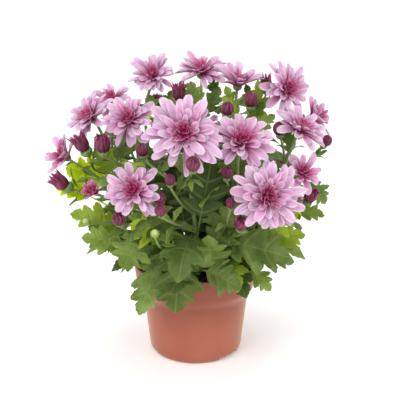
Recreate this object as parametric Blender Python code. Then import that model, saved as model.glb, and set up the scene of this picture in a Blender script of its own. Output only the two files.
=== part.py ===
"""Potted chrysanthemum: a bushy plant about 28 cm wide in a 12 cm nursery pot.

The origin is the middle of the pot's underside, +Z is up and the plant's front faces -Y.
Ten leafy shoots stand in plain holes in the soil. Each shoot is one solid: its stalk, the side
stalks that fork from it, the green cups that carry the flower heads, and its leaves. Every
open flower and every coloured bud is a solid of its own that sits on its cup.
"""

import math
from collections import namedtuple

import bmesh
import bpy
import numpy as np

MM = 0.001
GAP = 0.0003

# Pot
POT_SIDES = 32
POT_HEIGHT = 0.0886
RIM_RADIUS = 0.0600
RIM_LIP = 0.0004
RIM_ROUND = 0.0012
RIM_INNER_ROUND = 0.0008
COLLAR_HEIGHT = 0.0220
COLLAR_FOOT = POT_HEIGHT - COLLAR_HEIGHT
COLLAR_SLANT = 0.0092
COLLAR_FOOT_RADIUS = 0.0572
BODY_TOP_RADIUS = 0.0512
BODY_FOOT_RADIUS = 0.0454
FOOT_RADIUS = 0.0416
BODY_FOOT_HEIGHT = 0.0046
WALL = 0.0015
# Heights between which the inner wall steps out behind the collar.
SHELF_LOW = COLLAR_FOOT - COLLAR_SLANT - 0.0003
SHELF_HIGH = COLLAR_FOOT + 0.0003
FLOOR_TOP = 0.0052
FLOOR_CORNER_RADIUS = 0.0020
FLOOR_CORNER_HEIGHT = 0.0070
FOOT_HEIGHT = 0.0034
FOOT_DRAFT = 0.0008
FOOT_ROUND = (0.0026, 0.0012)
FOOT_RING_WIDTH = 0.0052
BOSS_RADIUS = 0.0255
NOTCH_ANGLES = (47, 167, 287)
NOTCH_WIDTH = 0.0240
NOTCH_PAST_RING = 0.0015
DRAIN_COUNT = 6
DRAIN_RADIUS = 0.0034
DRAIN_CIRCLE = 0.0310
DRAIN_SIDES = 8
CUT_PAST = 0.0040

# Soil
SOIL_EDGE = 0.0740
SOIL_RADIUS = 0.0560
SOIL_RINGS = (0.038, 0.019, 0)
SOIL_DOME = 0.0030
SOIL_LUMP = 0.0009
SOIL_SEED = 12
HOLE_RADIUS = 0.0029
HOLE_DEPTH = 0.0220
HOLE_SIDES = 7

# Stalks
SHOOT_RADIUS = 0.0022
SHOOT_TOP_RADIUS = 0.0013
SHOOT_SIDES = 5
SHOOT_STEPS = 7
SIDE_STALK_RADIUS = 0.0012
SIDE_STALK_TOP_RADIUS = 0.0009
SIDE_STALK_SIDES = 4
SIDE_STALK_STEP = 0.032
# How a stalk's curve leaves its foot and arrives at its cup, as shares of the span between them.
START_PULL = 0.38
END_PULL = 0.36
END_PULL_MOST = 0.034
END_LIFT = 0.35
END_ALONG = 0.75
SHOOT_SPREAD = 0.9
SHOOT_UPRIGHT = 0.030
SIDE_SPREAD = 0.9
# Bends sideways and upwards, in millimetres, the smallest first: a stalk takes the first clear one.
BOWS = sorted(
    ((side, rise) for side in range(-24, 25, 4) for rise in (-16, -8, 0, 8)),
    key=lambda bow: bow[0] ** 2 + bow[1] ** 2,
)
ROOM_AT_STALK = 0.0012
FAR = 0.0080
BEAD_SPACING = 0.0025

# Leaves
LEAF_THICKNESS = 0.0012
PETIOLE_RADIUS = 0.0009
LEAF_SHAPE = 0.74
LEAF_FOLD = 14
LEAF_WAVE = 0.0014
LEAF_WAVES = 9.0
LEAF_ROOM = 0.0029
STEM_ROOM = 0.0019
STEM_ROOM_AT_POT = 0.0009
ROOT_LENGTH = 0.0070
STEM_BEAD_SPACING = 0.0030
LEAF_SEED = 5
GOLDEN_ANGLE = 137.5

# A leaf's half outline from its joint to its tip as (share of length, share of half width), with two or
# three lobes on each side, and the shares of the length at which its midrib has points.
Shape = namedtuple("Shape", "outline midrib")
FRONT_SHAPE = Shape(
    ((0.0, 0.04), (0.20, 0.76), (0.32, 0.38), (0.52, 1.0), (0.62, 0.46), (0.80, 0.60), (1.0, 0.0)),
    (0.0, 0.16, 0.38, 0.60, 0.80),
)
FILL_SHAPE = Shape(
    ((0.0, 0.04), (0.22, 0.80), (0.36, 0.42), (0.60, 1.0), (0.72, 0.46), (1.0, 0.0)),
    (0.0, 0.18, 0.42, 0.68),
)

# Flower heads by stage: petals round the head, and each layer's rise above the disc and relative reach.
Stage = namedtuple("Stage", "columns layers depth")
STAGES = {
    "large": Stage(12, ((5, 1.0), (30, 0.84), (54, 0.60)), 0.11),
    "open": Stage(9, ((12, 1.0), (40, 0.78)), 0.13),
    "small": Stage(8, ((18, 1.0), (46, 0.78)), 0.15),
    "half": Stage(6, ((46, 1.0), (70, 0.80)), 0.30),
    "opening": Stage(7, (), 0.55),
    "bud": Stage(6, (), 0.55),
    "green": Stage(5, (), 0.50),
}

PETAL_THICKNESS = 0.0010
PETAL_EDGE_LIFT = 0.6
PETAL_HOLLOW = 0.12
PETAL_WIDEST = 0.60
PETAL_TIP = 0.44
PETAL_FILL = 0.84
PETAL_SCATTER = 4
PETAL_SHORTEST = 0.88
PETAL_STEEPEST = 84
PETAL_ROOM = 0.0015
BLUNT_FROM = 9
QUILL_SPREAD, QUILL_RISE = 0.75, 1.5

# The core where petals root: its radius in millimetres from the head's width, and its form by the radius.
CORE_LEAST = 1.3
CORE_PER_WIDTH = 0.062
CORE_BULGE = (1.0, 1.12, 1.0, 0.80)
CORE_RISE = 0.52
CORE_PEAK = 0.35

# The green cup under a head.
BUD_CUP = 0.34
CUP_STEEPNESS = 0.9
CUP_BRIM = 0.0006
CUP_LEVELS = ((0.72, 0.35), (1.0, 1.0))
GREEN_BUD_LEVELS = ((0.7, 0.3), (1.0, 1.1), (0.7, 1.8), (0.25, 2.2))

# A bud's rings from its base up, as shares of its half width: distance from the axis and height.
BUD_LEVELS = ((0.64, 0.0), (0.98, 0.55), (0.88, 1.35), (0.42, 1.95))
BUD_TOP = 2.15
OPENING_PIT = 1.5
OPENING_TIP = (1.05, 2.3)

# Shoots: where each stands in the soil, in millimetres.
SHOOTS = {
    "left": (-25, -3),
    "front_left": (-15, -20),
    "front": (2, -27),
    "front_right": (18, -18),
    "right": (26, 2),
    "mid_left": (-9, 2),
    "mid_right": (10, 4),
    "back": (1, 22),
    "back_left": (-19, 17),
    "back_right": (20, 19),
}

# Flower heads in millimetres. The first head of a shoot ends its main stalk; the others fork off
# at a share of its length. cup is how many degrees the petals stand steeper than the stage's own.
Head = namedtuple("Head", "shoot fork stage width centre facing cup")
HEADS = (
    Head("left", 1.0, "open", 49, (-98, -10, 232), (-0.50, -0.60, 0.62), 4),
    Head("left", 0.55, "half", 30, (-123, -20, 199), (-0.60, -0.50, 0.62), 0),
    Head("left", 0.50, "opening", 16, (-122, -36, 176), (-0.75, -0.20, 0.60), 0),
    Head("left", 0.66, "opening", 16, (-100, -42, 212), (-0.45, -0.20, 0.87), 0),
    Head("left", 0.76, "small", 43, (-81, 24, 244), (-0.10, -0.60, 0.80), 4),
    Head("left", 0.36, "green", 6, (-96, -60, 147), (-0.50, -0.30, 0.80), 0),
    Head("front_left", 1.0, "open", 46, (-57, -50, 234), (-0.10, -0.85, 0.50), 0),
    Head("front_left", 0.46, "open", 47, (-50, -100, 183), (-0.08, -0.93, 0.36), 0),
    Head("front_left", 0.70, "bud", 15, (-79, -56, 214), (-0.10, -0.30, 0.95), 0),
    Head("front_left", 0.42, "half", 19, (-87, -70, 176), (-0.30, -0.75, 0.55), 14),
    Head("front_left", 0.30, "bud", 11, (-62, -100, 160), (-0.10, -0.60, 0.78), 0),
    Head("front_left", 0.40, "bud", 9, (-29, -96, 176), (0.20, -0.40, 0.88), 0),
    Head("front_left", 0.24, "green", 6, (-32, -110, 152), (0.10, -0.50, 0.86), 0),
    Head("front", 1.0, "large", 64, (-9, -110, 231), (0.00, -0.90, 0.43), 0),
    Head("front", 0.70, "bud", 11, (-2, -126, 210), (0.00, -0.55, 0.83), 0),
    Head("front", 0.52, "bud", 8, (-20, -106, 193), (0.00, -0.40, 0.90), 0),
    Head("front", 0.44, "bud", 9, (-27, -122, 173), (-0.10, -0.50, 0.85), 0),
    Head("front", 0.66, "bud", 10, (-44, -72, 211), (-0.10, -0.20, 0.96), 0),
    Head("front_right", 1.0, "open", 54, (37, -85, 222), (0.10, -0.75, 0.65), 0),
    Head("front_right", 0.48, "large", 64, (57, -110, 180), (0.15, -0.95, 0.28), 0),
    Head("front_right", 0.62, "bud", 9, (25, -92, 196), (0.00, -0.30, 0.95), 0),
    Head("front_right", 0.46, "bud", 8, (28, -100, 173), (0.00, -0.40, 0.90), 0),
    Head("front_right", 0.34, "bud", 12, (37, -92, 154), (0.00, -0.50, 0.86), 0),
    Head("right", 1.0, "open", 48, (94, -30, 224), (0.35, -0.45, 0.82), 8),
    Head("right", 0.56, "small", 40, (94, -50, 188), (0.30, -0.75, 0.58), 0),
    Head("right", 0.72, "half", 29, (117, 10, 230), (0.85, -0.35, 0.40), 0),
    Head("right", 0.46, "bud", 13, (104, -34, 163), (0.30, -0.40, 0.86), 0),
    Head("right", 0.80, "bud", 11, (74, -26, 222), (-0.20, -0.10, 0.97), 0),
    Head("right", 0.60, "bud", 10, (125, 12, 205), (0.50, 0.00, 0.86), 0),
    Head("mid_left", 1.0, "open", 47, (-42, 40, 266), (-0.10, -0.75, 0.65), 6),
    Head("mid_left", 0.72, "opening", 16, (-16, 27, 250), (0.00, -0.15, 0.98), 0),
    Head("mid_left", 0.70, "bud", 12, (-38, 50, 240), (0.00, -0.10, 0.99), 0),
    Head("mid_left", 0.60, "bud", 11, (-7, -20, 240), (0.00, -0.20, 0.97), 0),
    Head("mid_right", 1.0, "small", 46, (41, 30, 261), (0.10, -0.30, 0.95), 24),
    Head("mid_right", 0.66, "open", 52, (86, 0, 255), (0.45, -0.85, 0.25), 0),
    Head("mid_right", 0.74, "opening", 14, (68, 38, 258), (-0.10, -0.20, 0.97), 0),
    Head("mid_right", 0.76, "bud", 13, (51, 0, 245), (0.00, -0.10, 0.99), 0),
    Head("mid_right", 0.64, "bud", 11, (28, -30, 240), (0.00, -0.10, 0.99), 0),
    Head("back", 1.0, "open", 58, (6, 60, 271), (0.00, -0.40, 0.92), 0),
    Head("back", 0.60, "small", 40, (-30, 101, 207), (-0.20, 0.62, 0.76), 0),
    Head("back", 0.62, "small", 44, (10, 112, 208), (0.10, 0.66, 0.74), 0),
    Head("back_left", 1.0, "small", 46, (-76, 64, 206), (-0.50, 0.45, 0.74), 0),
    Head("back_left", 0.58, "small", 40, (-99, 55, 171), (-0.80, 0.35, 0.48), 0),
    Head("back_left", 0.50, "open", 48, (-52, 112, 160), (-0.35, 0.85, 0.40), 0),
    Head("back_right", 1.0, "small", 46, (52, 88, 204), (0.35, 0.50, 0.79), 0),
    Head("back_right", 0.66, "small", 40, (92, 60, 176), (0.75, 0.35, 0.56), 0),
    Head("back_right", 0.44, "open", 48, (52, 112, 158), (0.25, 0.88, 0.40), 0),
    Head("back_right", 0.48, "small", 38, (106, 40, 140), (0.85, 0.20, 0.48), 0),
    Head("back_right", 0.54, "bud", 12, (82, 88, 178), (0.40, 0.50, 0.77), 0),
)

# Leaves that show at the front, in millimetres: the shoot, the share of its main stalk where the leaf
# roots, the blade's joint and tip, its width, its arch as a share of its length, and where it faces.
Leaf = namedtuple("Leaf", "shoot fork joint tip width arch face")
FRONT_LEAVES = (
    Leaf("left", 0.42, (-86, 0, 170), (-120, -12, 183), 36, 0.06, (0.0, -1.0, 0.2)),
    Leaf("left", 0.34, (-98, -24, 158), (-128, -30, 168), 22, 0.10, (0.0, -0.7, 0.7)),
    Leaf("left", 0.20, (-70, -45, 132), (-111, -52, 149), 30, 0.10, (0.0, -0.7, 0.7)),
    Leaf("left", 0.48, (-76, -18, 180), (-90, -14, 208), 28, 0.06, (0.0, -1.0, 0.2)),
    Leaf("front_left", 0.14, (-64, -56, 124), (-99, -60, 132), 26, 0.10, (0.0, -0.8, 0.6)),
    Leaf("front_left", 0.18, (-48, -66, 136), (-62, -78, 108), 36, 0.12, (0.0, -0.9, 0.4)),
    Leaf("front_left", 0.12, (-31, -60, 117), (-50, -70, 62), 30, 0.12, (0.0, -0.9, 0.3)),
    Leaf("front_left", 0.44, (-52, -48, 162), (-64, -44, 198), 30, 0.06, (0.0, -1.0, 0.0)),
    Leaf("front_left", 0.26, (-34, -50, 130), (-42, -56, 174), 38, 0.06, (0.0, -1.0, 0.0)),
    Leaf("front_left", 0.16, (-30, -60, 134), (-60, -66, 146), 32, 0.08, (0.0, -0.9, 0.4)),
    Leaf("front", 0.08, (-12, -64, 121), (-18, -74, 66), 42, 0.14, (0.0, -0.9, 0.3)),
    Leaf("front", 0.30, (0, -76, 156), (9, -70, 204), 38, 0.06, (0.0, -1.0, 0.0)),
    Leaf("front", 0.24, (-14, -56, 138), (-20, -58, 188), 38, 0.06, (0.0, -1.0, 0.0)),
    Leaf("front", 0.10, (2, -50, 104), (-2, -66, 142), 42, 0.08, (0.0, -1.0, 0.2)),
    Leaf("front", 0.12, (9, -68, 106), (39, -74, 92), 28, 0.10, (0.0, -0.8, 0.6)),
    Leaf("front_right", 0.10, (14, -70, 126), (76, -74, 112), 42, 0.10, (0.0, -0.8, 0.6)),
    Leaf("front_right", 0.28, (30, -56, 124), (48, -56, 166), 38, 0.06, (0.0, -1.0, 0.0)),
    Leaf("front_right", 0.30, (16, -54, 138), (22, -50, 186), 36, 0.06, (0.0, -1.0, 0.0)),
    Leaf("front_right", 0.44, (32, -54, 174), (35, -50, 208), 30, 0.06, (0.0, -1.0, 0.0)),
    Leaf("right", 0.14, (58, -36, 116), (101, -30, 124), 28, 0.12, (0.0, -0.7, 0.7)),
    Leaf("right", 0.08, (52, -46, 108), (93, -44, 104), 28, 0.12, (0.0, -0.7, 0.7)),
    Leaf("right", 0.06, (50, -50, 98), (67, -62, 82), 20, 0.14, (0.0, -0.9, 0.4)),
    Leaf("right", 0.22, (56, -40, 132), (92, -40, 147), 32, 0.10, (0.0, -0.8, 0.6)),
    Leaf("right", 0.36, (88, -14, 141), (120, -20, 139), 24, 0.10, (0.0, -0.6, 0.8)),
    Leaf("right", 0.50, (108, 2, 166), (124, -2, 146), 22, 0.12, (0.2, -0.9, 0.3)),
    Leaf("mid_right", 0.56, (58, 12, 218), (54, 12, 262), 18, 0.04, (-0.5, -0.8, 0.0)),
    Leaf("mid_right", 0.52, (56, 4, 214), (78, 8, 230), 18, 0.06, (0.0, -0.8, 0.6)),
    Leaf("mid_right", 0.62, (40, 22, 226), (26, 22, 244), 18, 0.05, (0.0, -1.0, 0.2)),
    Leaf("mid_right", 0.30, (22, -20, 150), (30, -24, 204), 36, 0.06, (0.0, -1.0, 0.0)),
    Leaf("mid_left", 0.62, (0, 32, 226), (-5, 38, 258), 26, 0.05, (0.0, -1.0, 0.0)),
    Leaf("mid_left", 0.30, (-14, -18, 150), (-20, -24, 204), 36, 0.06, (0.0, -1.0, 0.0)),
)

# How far a front leaf may move sideways and in depth to stand clear, in millimetres, the nearest first.
FRONT_SHIFTS = sorted(
    ((side, depth) for side in range(-12, 13, 4) for depth in range(-16, 17, 4)),
    key=lambda shift: shift[0] ** 2 + shift[1] ** 2,
)
FRONT_SIZES = (1.0, 0.9, 0.8)

# The other leaves: how many grow along each shoot's main stalk, and how they change from low to high.
FILL_LEAVES = {
    "left": 4, "front_left": 3, "front": 3, "front_right": 3, "right": 4,
    "mid_left": 4, "mid_right": 4, "back": 5, "back_left": 5, "back_right": 5,
}
FILL_FROM, FILL_TO = 0.05, 0.72
FILL_LENGTH_LOW, FILL_LENGTH_HIGH = 0.058, 0.042
FILL_RISE_LOW, FILL_RISE_HIGH = 14, 50
FILL_DROOP = 46
FILL_PETIOLE = 0.017
FILL_ARCH = 0.15
FILL_FACE_OUT = 0.4
FILL_ROLL = 20
FILL_FAN = 40
FILL_TURNS = (0, 28, -28, 56, -56, 90, -90, 130, -130, 175)
FILL_LIFTS = (0, 18, -18)
FILL_SIZES = (1.0, 0.85, 0.70)
FILL_LOWEST = 0.084
FILL_REACH = 0.116
# A side stalk bears one leaf for each such length, between these shares of it, turned to either side.
SIDE_LEAF_SPACING = 0.065
SIDE_LEAF_FROM, SIDE_LEAF_TO = 0.2, 0.8
SIDE_LEAF_TURN = 60
SIDE_LEAF_HEIGHT = 0.6

# Colours as linear red, green and blue
TERRACOTTA = (0.42, 0.14, 0.10)
SOIL_BROWN = (0.045, 0.030, 0.022)
LEAF_GREEN = (0.13, 0.22, 0.05)
PETAL_PINK = (0.66, 0.36, 0.56)
BUD_BURGUNDY = (0.22, 0.03, 0.10)


def unit(vector):
    """A vector, or each row of an array, scaled to length one."""
    vector = np.asarray(vector, float)
    return vector / np.linalg.norm(vector, axis=-1, keepdims=True)


def metres(point):
    """A point or length given in millimetres, as metres."""
    return np.asarray(point, float) * MM


def turned(vector, axis, degrees):
    """A vector turned about an axis."""
    angle = math.radians(degrees)
    axis = unit(axis)
    across = np.cross(axis, vector)
    along = axis * np.dot(axis, vector)
    return vector * math.cos(angle) + across * math.sin(angle) + along * (1 - math.cos(angle))


def bezier(start, first, second, end, steps):
    """Points along a cubic curve: four corner points blended by the third powers of the share."""
    share = np.linspace(0, 1, steps + 1)[:, None]
    rest = 1 - share
    return rest**3 * start + 3 * rest**2 * share * first + 3 * rest * share**2 * second + share**3 * end


def path_point(path, share):
    """The point and the direction at a share of a path's length."""
    lengths = np.linalg.norm(np.diff(path, axis=0), axis=1)
    run = np.concatenate(([0], np.cumsum(lengths)))
    distance = share * run[-1]
    leg = min(int(np.searchsorted(run, distance, side="right")) - 1, len(lengths) - 1)
    way = (distance - run[leg]) / lengths[leg]
    return path[leg] + (path[leg + 1] - path[leg]) * way, unit(path[leg + 1] - path[leg])


def beads(path, spacing):
    """Points evenly spaced along a path, no further apart than the spacing."""
    total = np.linalg.norm(np.diff(path, axis=0), axis=1).sum()
    count = max(2, math.ceil(total / spacing) + 1)
    return np.array([path_point(path, share)[0] for share in np.linspace(0, 1, count)])


def head_frame(facing, turn):
    """Three directions of a head: two across its disc, turned about its axis, and the axis."""
    axis = unit(facing)
    across = np.cross(axis, (0.31, 0.0, 0.95) if abs(axis[2]) < 0.9 else (1.0, 0.0, 0.0))
    across = turned(unit(across), axis, turn)
    return across, np.cross(axis, across), axis


def core_radius(head):
    """Radius of a head's core, where its petals root."""
    return (CORE_LEAST + CORE_PER_WIDTH * head.width) * MM


def seat(head):
    """The point on a head's axis where it sits on its green cup."""
    depth = STAGES[head.stage].depth * head.width
    return metres(head.centre) - unit(head.facing) * depth * MM


def cup_radius(head):
    """Radius of the flat top of the green cup under a head."""
    if not STAGES[head.stage].layers:
        return BUD_CUP * head.width * MM
    return core_radius(head)


def cup_height(head):
    """Height of the green cup under a head."""
    return CUP_STEEPNESS * cup_radius(head) + CUP_BRIM


def reach(head):
    """How far a head's outer petals reach from its core, so that they span its width."""
    rise = math.radians(STAGES[head.stage].layers[0][0] + head.cup)
    return (head.width * MM / 2 - 0.8 * core_radius(head)) / math.cos(min(rise, math.radians(50)))


def head_samples(head):
    """Points over a head, which stalks and leaves keep clear of."""
    across, up, axis = head_frame(head.facing, 0)
    stage = STAGES[head.stage]
    middle = metres(head.centre)
    if not stage.layers:
        return middle[None, :], np.array([head.width * MM * 0.55])
    angle = np.radians(np.arange(0, 360, 24))
    ring = np.outer(np.cos(angle), across) + np.outer(np.sin(angle), up)
    base = seat(head) + axis * 0.003
    points = [base[None, :]]
    for rise, share in (stage.layers[0], stage.layers[-1]):
        tilt = math.radians(min(rise + head.cup, 80))
        for part in (0.3, 0.55, 0.8, 1.0):
            span = core_radius(head) + reach(head) * share * part * math.cos(tilt)
            points.append(base + ring * span + axis * reach(head) * share * part * math.sin(tilt))
    points = np.concatenate(points)
    return points, np.full(len(points), PETAL_ROOM)


class Clearance:
    """Spheres round everything placed so far, each with its owner's name."""

    def __init__(self):
        self.points = np.zeros((0, 3))
        self.radii = np.zeros(0)
        self.owners = np.zeros(0, int)
        self.names = {}

    def add(self, owner, points, radii):
        """Keep the spheres of a placed piece."""
        number = self.names.setdefault(owner, len(self.names))
        self.points = np.concatenate((self.points, points))
        self.radii = np.concatenate((self.radii, np.broadcast_to(radii, len(points))))
        self.owners = np.concatenate((self.owners, np.full(len(points), number)))

    def room(self, points, ignored=()):
        """The smallest distance from the points to any sphere of the other owners."""
        low, high = points.min(axis=0) - FAR, points.max(axis=0) + FAR
        keep = ((self.points > low) & (self.points < high)).all(axis=1)
        for name in ignored:
            keep &= self.owners != self.names.get(name, -1)
        if not keep.any():
            return FAR
        gaps = np.linalg.norm(points[:, None, :] - self.points[keep][None, :, :], axis=2)
        return float((gaps - self.radii[keep][None, :]).min())


def pot_room(points):
    """The smallest distance from the points to the pot's wall and to the soil."""
    radius = np.hypot(points[:, 0], points[:, 1])
    height = points[:, 2]
    over_rim = height - POT_HEIGHT
    wall = np.abs(radius - (RIM_RADIUS - 0.002)) - 0.004
    rim = np.where(over_rim > 0, np.hypot(over_rim, np.maximum(wall, 0)), wall)
    inside = radius < RIM_RADIUS - 0.002
    soil = np.where(inside, height - SOIL_EDGE - SOIL_DOME, 1.0)
    return float(np.minimum(rim, soil).min())


def stalk_route(start, heading, head, steps, bow):
    """A stalk's curve: it leaves along the heading and arrives at the head's cup from below it."""
    axis = unit(head.facing)
    end = seat(head) - axis * (GAP + cup_height(head))
    span = np.linalg.norm(end - start)
    first = start + heading * span * START_PULL
    pull = min(span * END_PULL, END_PULL_MOST)
    second = end - unit(axis * END_ALONG + np.array((0, 0, END_LIFT))) * pull
    sideways = unit(np.cross(end - start, (0.0, 0.0, 1.0)))
    push = (sideways * bow[0] + unit(np.cross(sideways, end - start)) * bow[1]) * MM
    return bezier(start, first + push * 0.5, second + push, end, steps)


def best_route(routes, clearance, ignored, needed):
    """The first route with the room that it needs, or else the one with the most."""
    best, most = None, -1.0
    for route in routes:
        room = clearance.room(beads(route, BEAD_SPACING)[2:-2], ignored)
        if room >= needed:
            return route
        if room > most:
            best, most = route, room
    return best


def lay_out_mains(clearance):
    """The main stalk of every shoot, clear of the heads and of the other main stalks."""
    mains = {}
    for number, head in enumerate(HEADS):
        clearance.add(f"head_{number}", *head_samples(head))
    for number, head in enumerate(HEADS):
        if head.fork != 1.0:
            continue
        stand = metres((*SHOOTS[head.shoot], 0))
        foot = stand + np.array((0, 0, SOIL_EDGE + SOIL_DOME))
        heading = unit(stand * SHOOT_SPREAD + np.array((0, 0, SHOOT_UPRIGHT)))
        routes = [stalk_route(foot, heading, head, SHOOT_STEPS, bow) for bow in BOWS]
        mains[head.shoot] = best_route(routes, clearance, (f"head_{number}",), SHOOT_RADIUS + ROOM_AT_STALK)
        clearance.add(head.shoot, beads(mains[head.shoot], BEAD_SPACING), SHOOT_RADIUS)
    return mains


def lay_out_sides(mains, clearance):
    """The side stalks that fork off the main ones, clear of the heads, front leaves and other shoots."""
    sides = {}
    for number, head in enumerate(HEADS):
        if head.fork == 1.0:
            continue
        start, along = path_point(mains[head.shoot], head.fork)
        heading = unit(along + unit(seat(head) - start) * SIDE_SPREAD)
        steps = max(2, round(np.linalg.norm(seat(head) - start) / SIDE_STALK_STEP))
        routes = [stalk_route(start, heading, head, steps, bow) for bow in BOWS]
        needed = SIDE_STALK_RADIUS + ROOM_AT_STALK
        sides[number] = best_route(routes, clearance, (head.shoot, f"head_{number}"), needed)
        clearance.add(head.shoot, beads(sides[number], BEAD_SPACING), SIDE_STALK_RADIUS)
    return sides


class Blade:
    """A leaf's surface: its midrib arches from joint to tip, and its halves fold up and wave."""

    def __init__(self, joint, tip, width, arch, face, phase, shape):
        self.joint, self.tip, self.width = np.asarray(joint, float), np.asarray(tip, float), width
        self.chord = self.tip - self.joint
        self.length = float(np.linalg.norm(self.chord))
        along = unit(self.chord)
        face = np.asarray(face, float)
        self.normal = unit(face - along * np.dot(face, along))
        self.side = np.cross(along, self.normal)
        self.arch, self.phase, self.shape = arch * self.length, phase, shape
        self.heading = unit(self.chord + self.normal * self.arch * math.pi)

    def at(self, share, across):
        """Points at shares of the length and signed shares of the half width."""
        share, across = np.asarray(share, float)[..., None], np.asarray(across, float)[..., None]
        half = self.width / 2
        fold = math.radians(LEAF_FOLD)
        middle = self.joint + self.chord * share + self.normal * self.arch * np.sin(math.pi * share)
        wave = LEAF_WAVE * np.sin(LEAF_WAVES * share + self.phase + np.sign(across)) * across**2
        raised = np.abs(across) * half * math.sin(fold) + wave
        return middle + self.side * across * half * math.cos(fold) + self.normal * raised

    def samples(self):
        """Points spread over the blade inside its outline."""
        outline = np.array(self.shape.outline)
        share = np.linspace(0.03, 1.0, 18)
        edge = np.interp(share, outline[:, 0], outline[:, 1])
        across = np.linspace(-1, 1, 11)
        return self.at(np.repeat(share, 11), np.outer(edge, across).ravel()).reshape(-1, 3)


def leaf_room(root, blade, clearance, shoot):
    """The room that a leaf has: its blade against everything, its stem against all but its own shoot."""
    points = blade.samples()
    stem = beads(np.array((root, blade.joint)), STEM_BEAD_SPACING)
    away = points[np.linalg.norm(points - root, axis=1) > ROOT_LENGTH]
    return min(
        clearance.room(away),
        clearance.room(stem[1:], (shoot,)) + LEAF_ROOM - STEM_ROOM,
        pot_room(points),
        pot_room(stem) + LEAF_ROOM - STEM_ROOM_AT_POT,
    )


def keep_leaf(shoot, root, blade, leaves, clearance):
    """Place a leaf and guard its room."""
    leaves.append((shoot, root, blade))
    clearance.add(f"leaf_{len(leaves)}", blade.samples(), 0.0)
    clearance.add(shoot, beads(np.array((root, blade.joint)), STEM_BEAD_SPACING)[1:], PETIOLE_RADIUS)


def lay_out():
    """The whole plant: main stalks, front leaves, side stalks, then other leaves where there is room."""
    draw = np.random.default_rng(LEAF_SEED)
    clearance, leaves = Clearance(), []
    mains = lay_out_mains(clearance)
    for leaf in FRONT_LEAVES:
        root, _ = path_point(mains[leaf.shoot], leaf.fork)
        blade = front_leaf(leaf, root, draw.uniform(0, 6), clearance)
        if blade is not None:
            keep_leaf(leaf.shoot, root, blade, leaves, clearance)
    sides = lay_out_sides(mains, clearance)
    for shoot, root, height, azimuth in leaf_roots(mains, sides):
        roll, phase = draw.uniform(-FILL_ROLL, FILL_ROLL), draw.uniform(0, 6)
        blade = fill_leaf(shoot, root, height, azimuth, roll, phase, clearance)
        if blade is not None:
            keep_leaf(shoot, root, blade, leaves, clearance)
    return mains, sides, leaves


def front_leaf(leaf, root, phase, clearance):
    """A front leaf where it is given, or moved nearer or further and made smaller until it has room."""
    for size in FRONT_SIZES:
        for shift in FRONT_SHIFTS:
            joint = metres(leaf.joint) + metres((*shift, 0))
            tip = joint + metres(np.subtract(leaf.tip, leaf.joint)) * size
            blade = Blade(joint, tip, leaf.width * size * MM, leaf.arch, leaf.face, phase, FRONT_SHAPE)
            if leaf_room(root, blade, clearance, leaf.shoot) >= LEAF_ROOM:
                return blade
    return None


def leaf_roots(mains, sides):
    """Where the other leaves root, low to high: their shoot, point, relative height and azimuth."""
    rows = []
    for order, (shoot, count) in enumerate(FILL_LEAVES.items()):
        outward = math.degrees(math.atan2(SHOOTS[shoot][1], SHOOTS[shoot][0]))
        for step in range(count):
            height = (step + 0.5) / count
            root, _ = path_point(mains[shoot], FILL_FROM + (FILL_TO - FILL_FROM) * height)
            turn = (step * GOLDEN_ANGLE + order * FILL_FAN) % 360 - 180
            rows.append((height, shoot, root, outward + turn))
    for number, route in sides.items():
        length = np.linalg.norm(np.diff(route, axis=0), axis=1).sum()
        count = int(length / SIDE_LEAF_SPACING)
        for step in range(count):
            place = (step + 0.5) / count
            root, _ = path_point(route, SIDE_LEAF_FROM + (SIDE_LEAF_TO - SIDE_LEAF_FROM) * place)
            outward = math.degrees(math.atan2(root[1], root[0]))
            height = SIDE_LEAF_HEIGHT + (1 - SIDE_LEAF_HEIGHT) * step / count
            azimuth = outward + SIDE_LEAF_TURN * (-1) ** (number + step)
            rows.append((height, HEADS[number].shoot, root, azimuth))
    rows.sort(key=lambda row: row[0])
    return [(shoot, root, height, azimuth) for height, shoot, root, azimuth in rows]


def fill_leaf(shoot, root, height, azimuth, roll, phase, clearance):
    """A leaf that grows from the root, at the first size, turn and lift at which it has room."""
    length = FILL_LENGTH_LOW + (FILL_LENGTH_HIGH - FILL_LENGTH_LOW) * height
    rise = FILL_RISE_LOW + (FILL_RISE_HIGH - FILL_RISE_LOW) * height
    for size in FILL_SIZES:
        for lift in FILL_LIFTS:
            for turn in FILL_TURNS:
                way = math.radians(azimuth + turn)
                tilt, droop = math.radians(rise + lift), math.radians(rise + lift - FILL_DROOP)
                outward, upright = np.array((math.cos(way), math.sin(way), 0.0)), np.array((0.0, 0.0, 1.0))
                joint = root + (outward * math.cos(tilt) + upright * math.sin(tilt)) * FILL_PETIOLE * size
                tip = joint + (outward * math.cos(droop) + upright * math.sin(droop)) * length * size
                face = turned(upright + outward * FILL_FACE_OUT, outward, roll)
                blade = Blade(joint, tip, length * size * LEAF_SHAPE, FILL_ARCH, face, phase, FILL_SHAPE)
                if tip[2] < FILL_LOWEST or math.hypot(tip[0], tip[1]) > FILL_REACH:
                    continue
                if leaf_room(root, blade, clearance, shoot) >= LEAF_ROOM:
                    return blade
    return None


def material(name, colour, roughness):
    """A plain finish with the part's colour and roughness."""
    finish = bpy.data.materials.new(name)
    finish.use_nodes = True
    shader = finish.node_tree.nodes["Principled BSDF"]
    shader.inputs["Base Color"].default_value = (*colour, 1.0)
    shader.inputs["Roughness"].default_value = roughness
    shader.inputs["Metallic"].default_value = 0.0
    return finish


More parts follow.
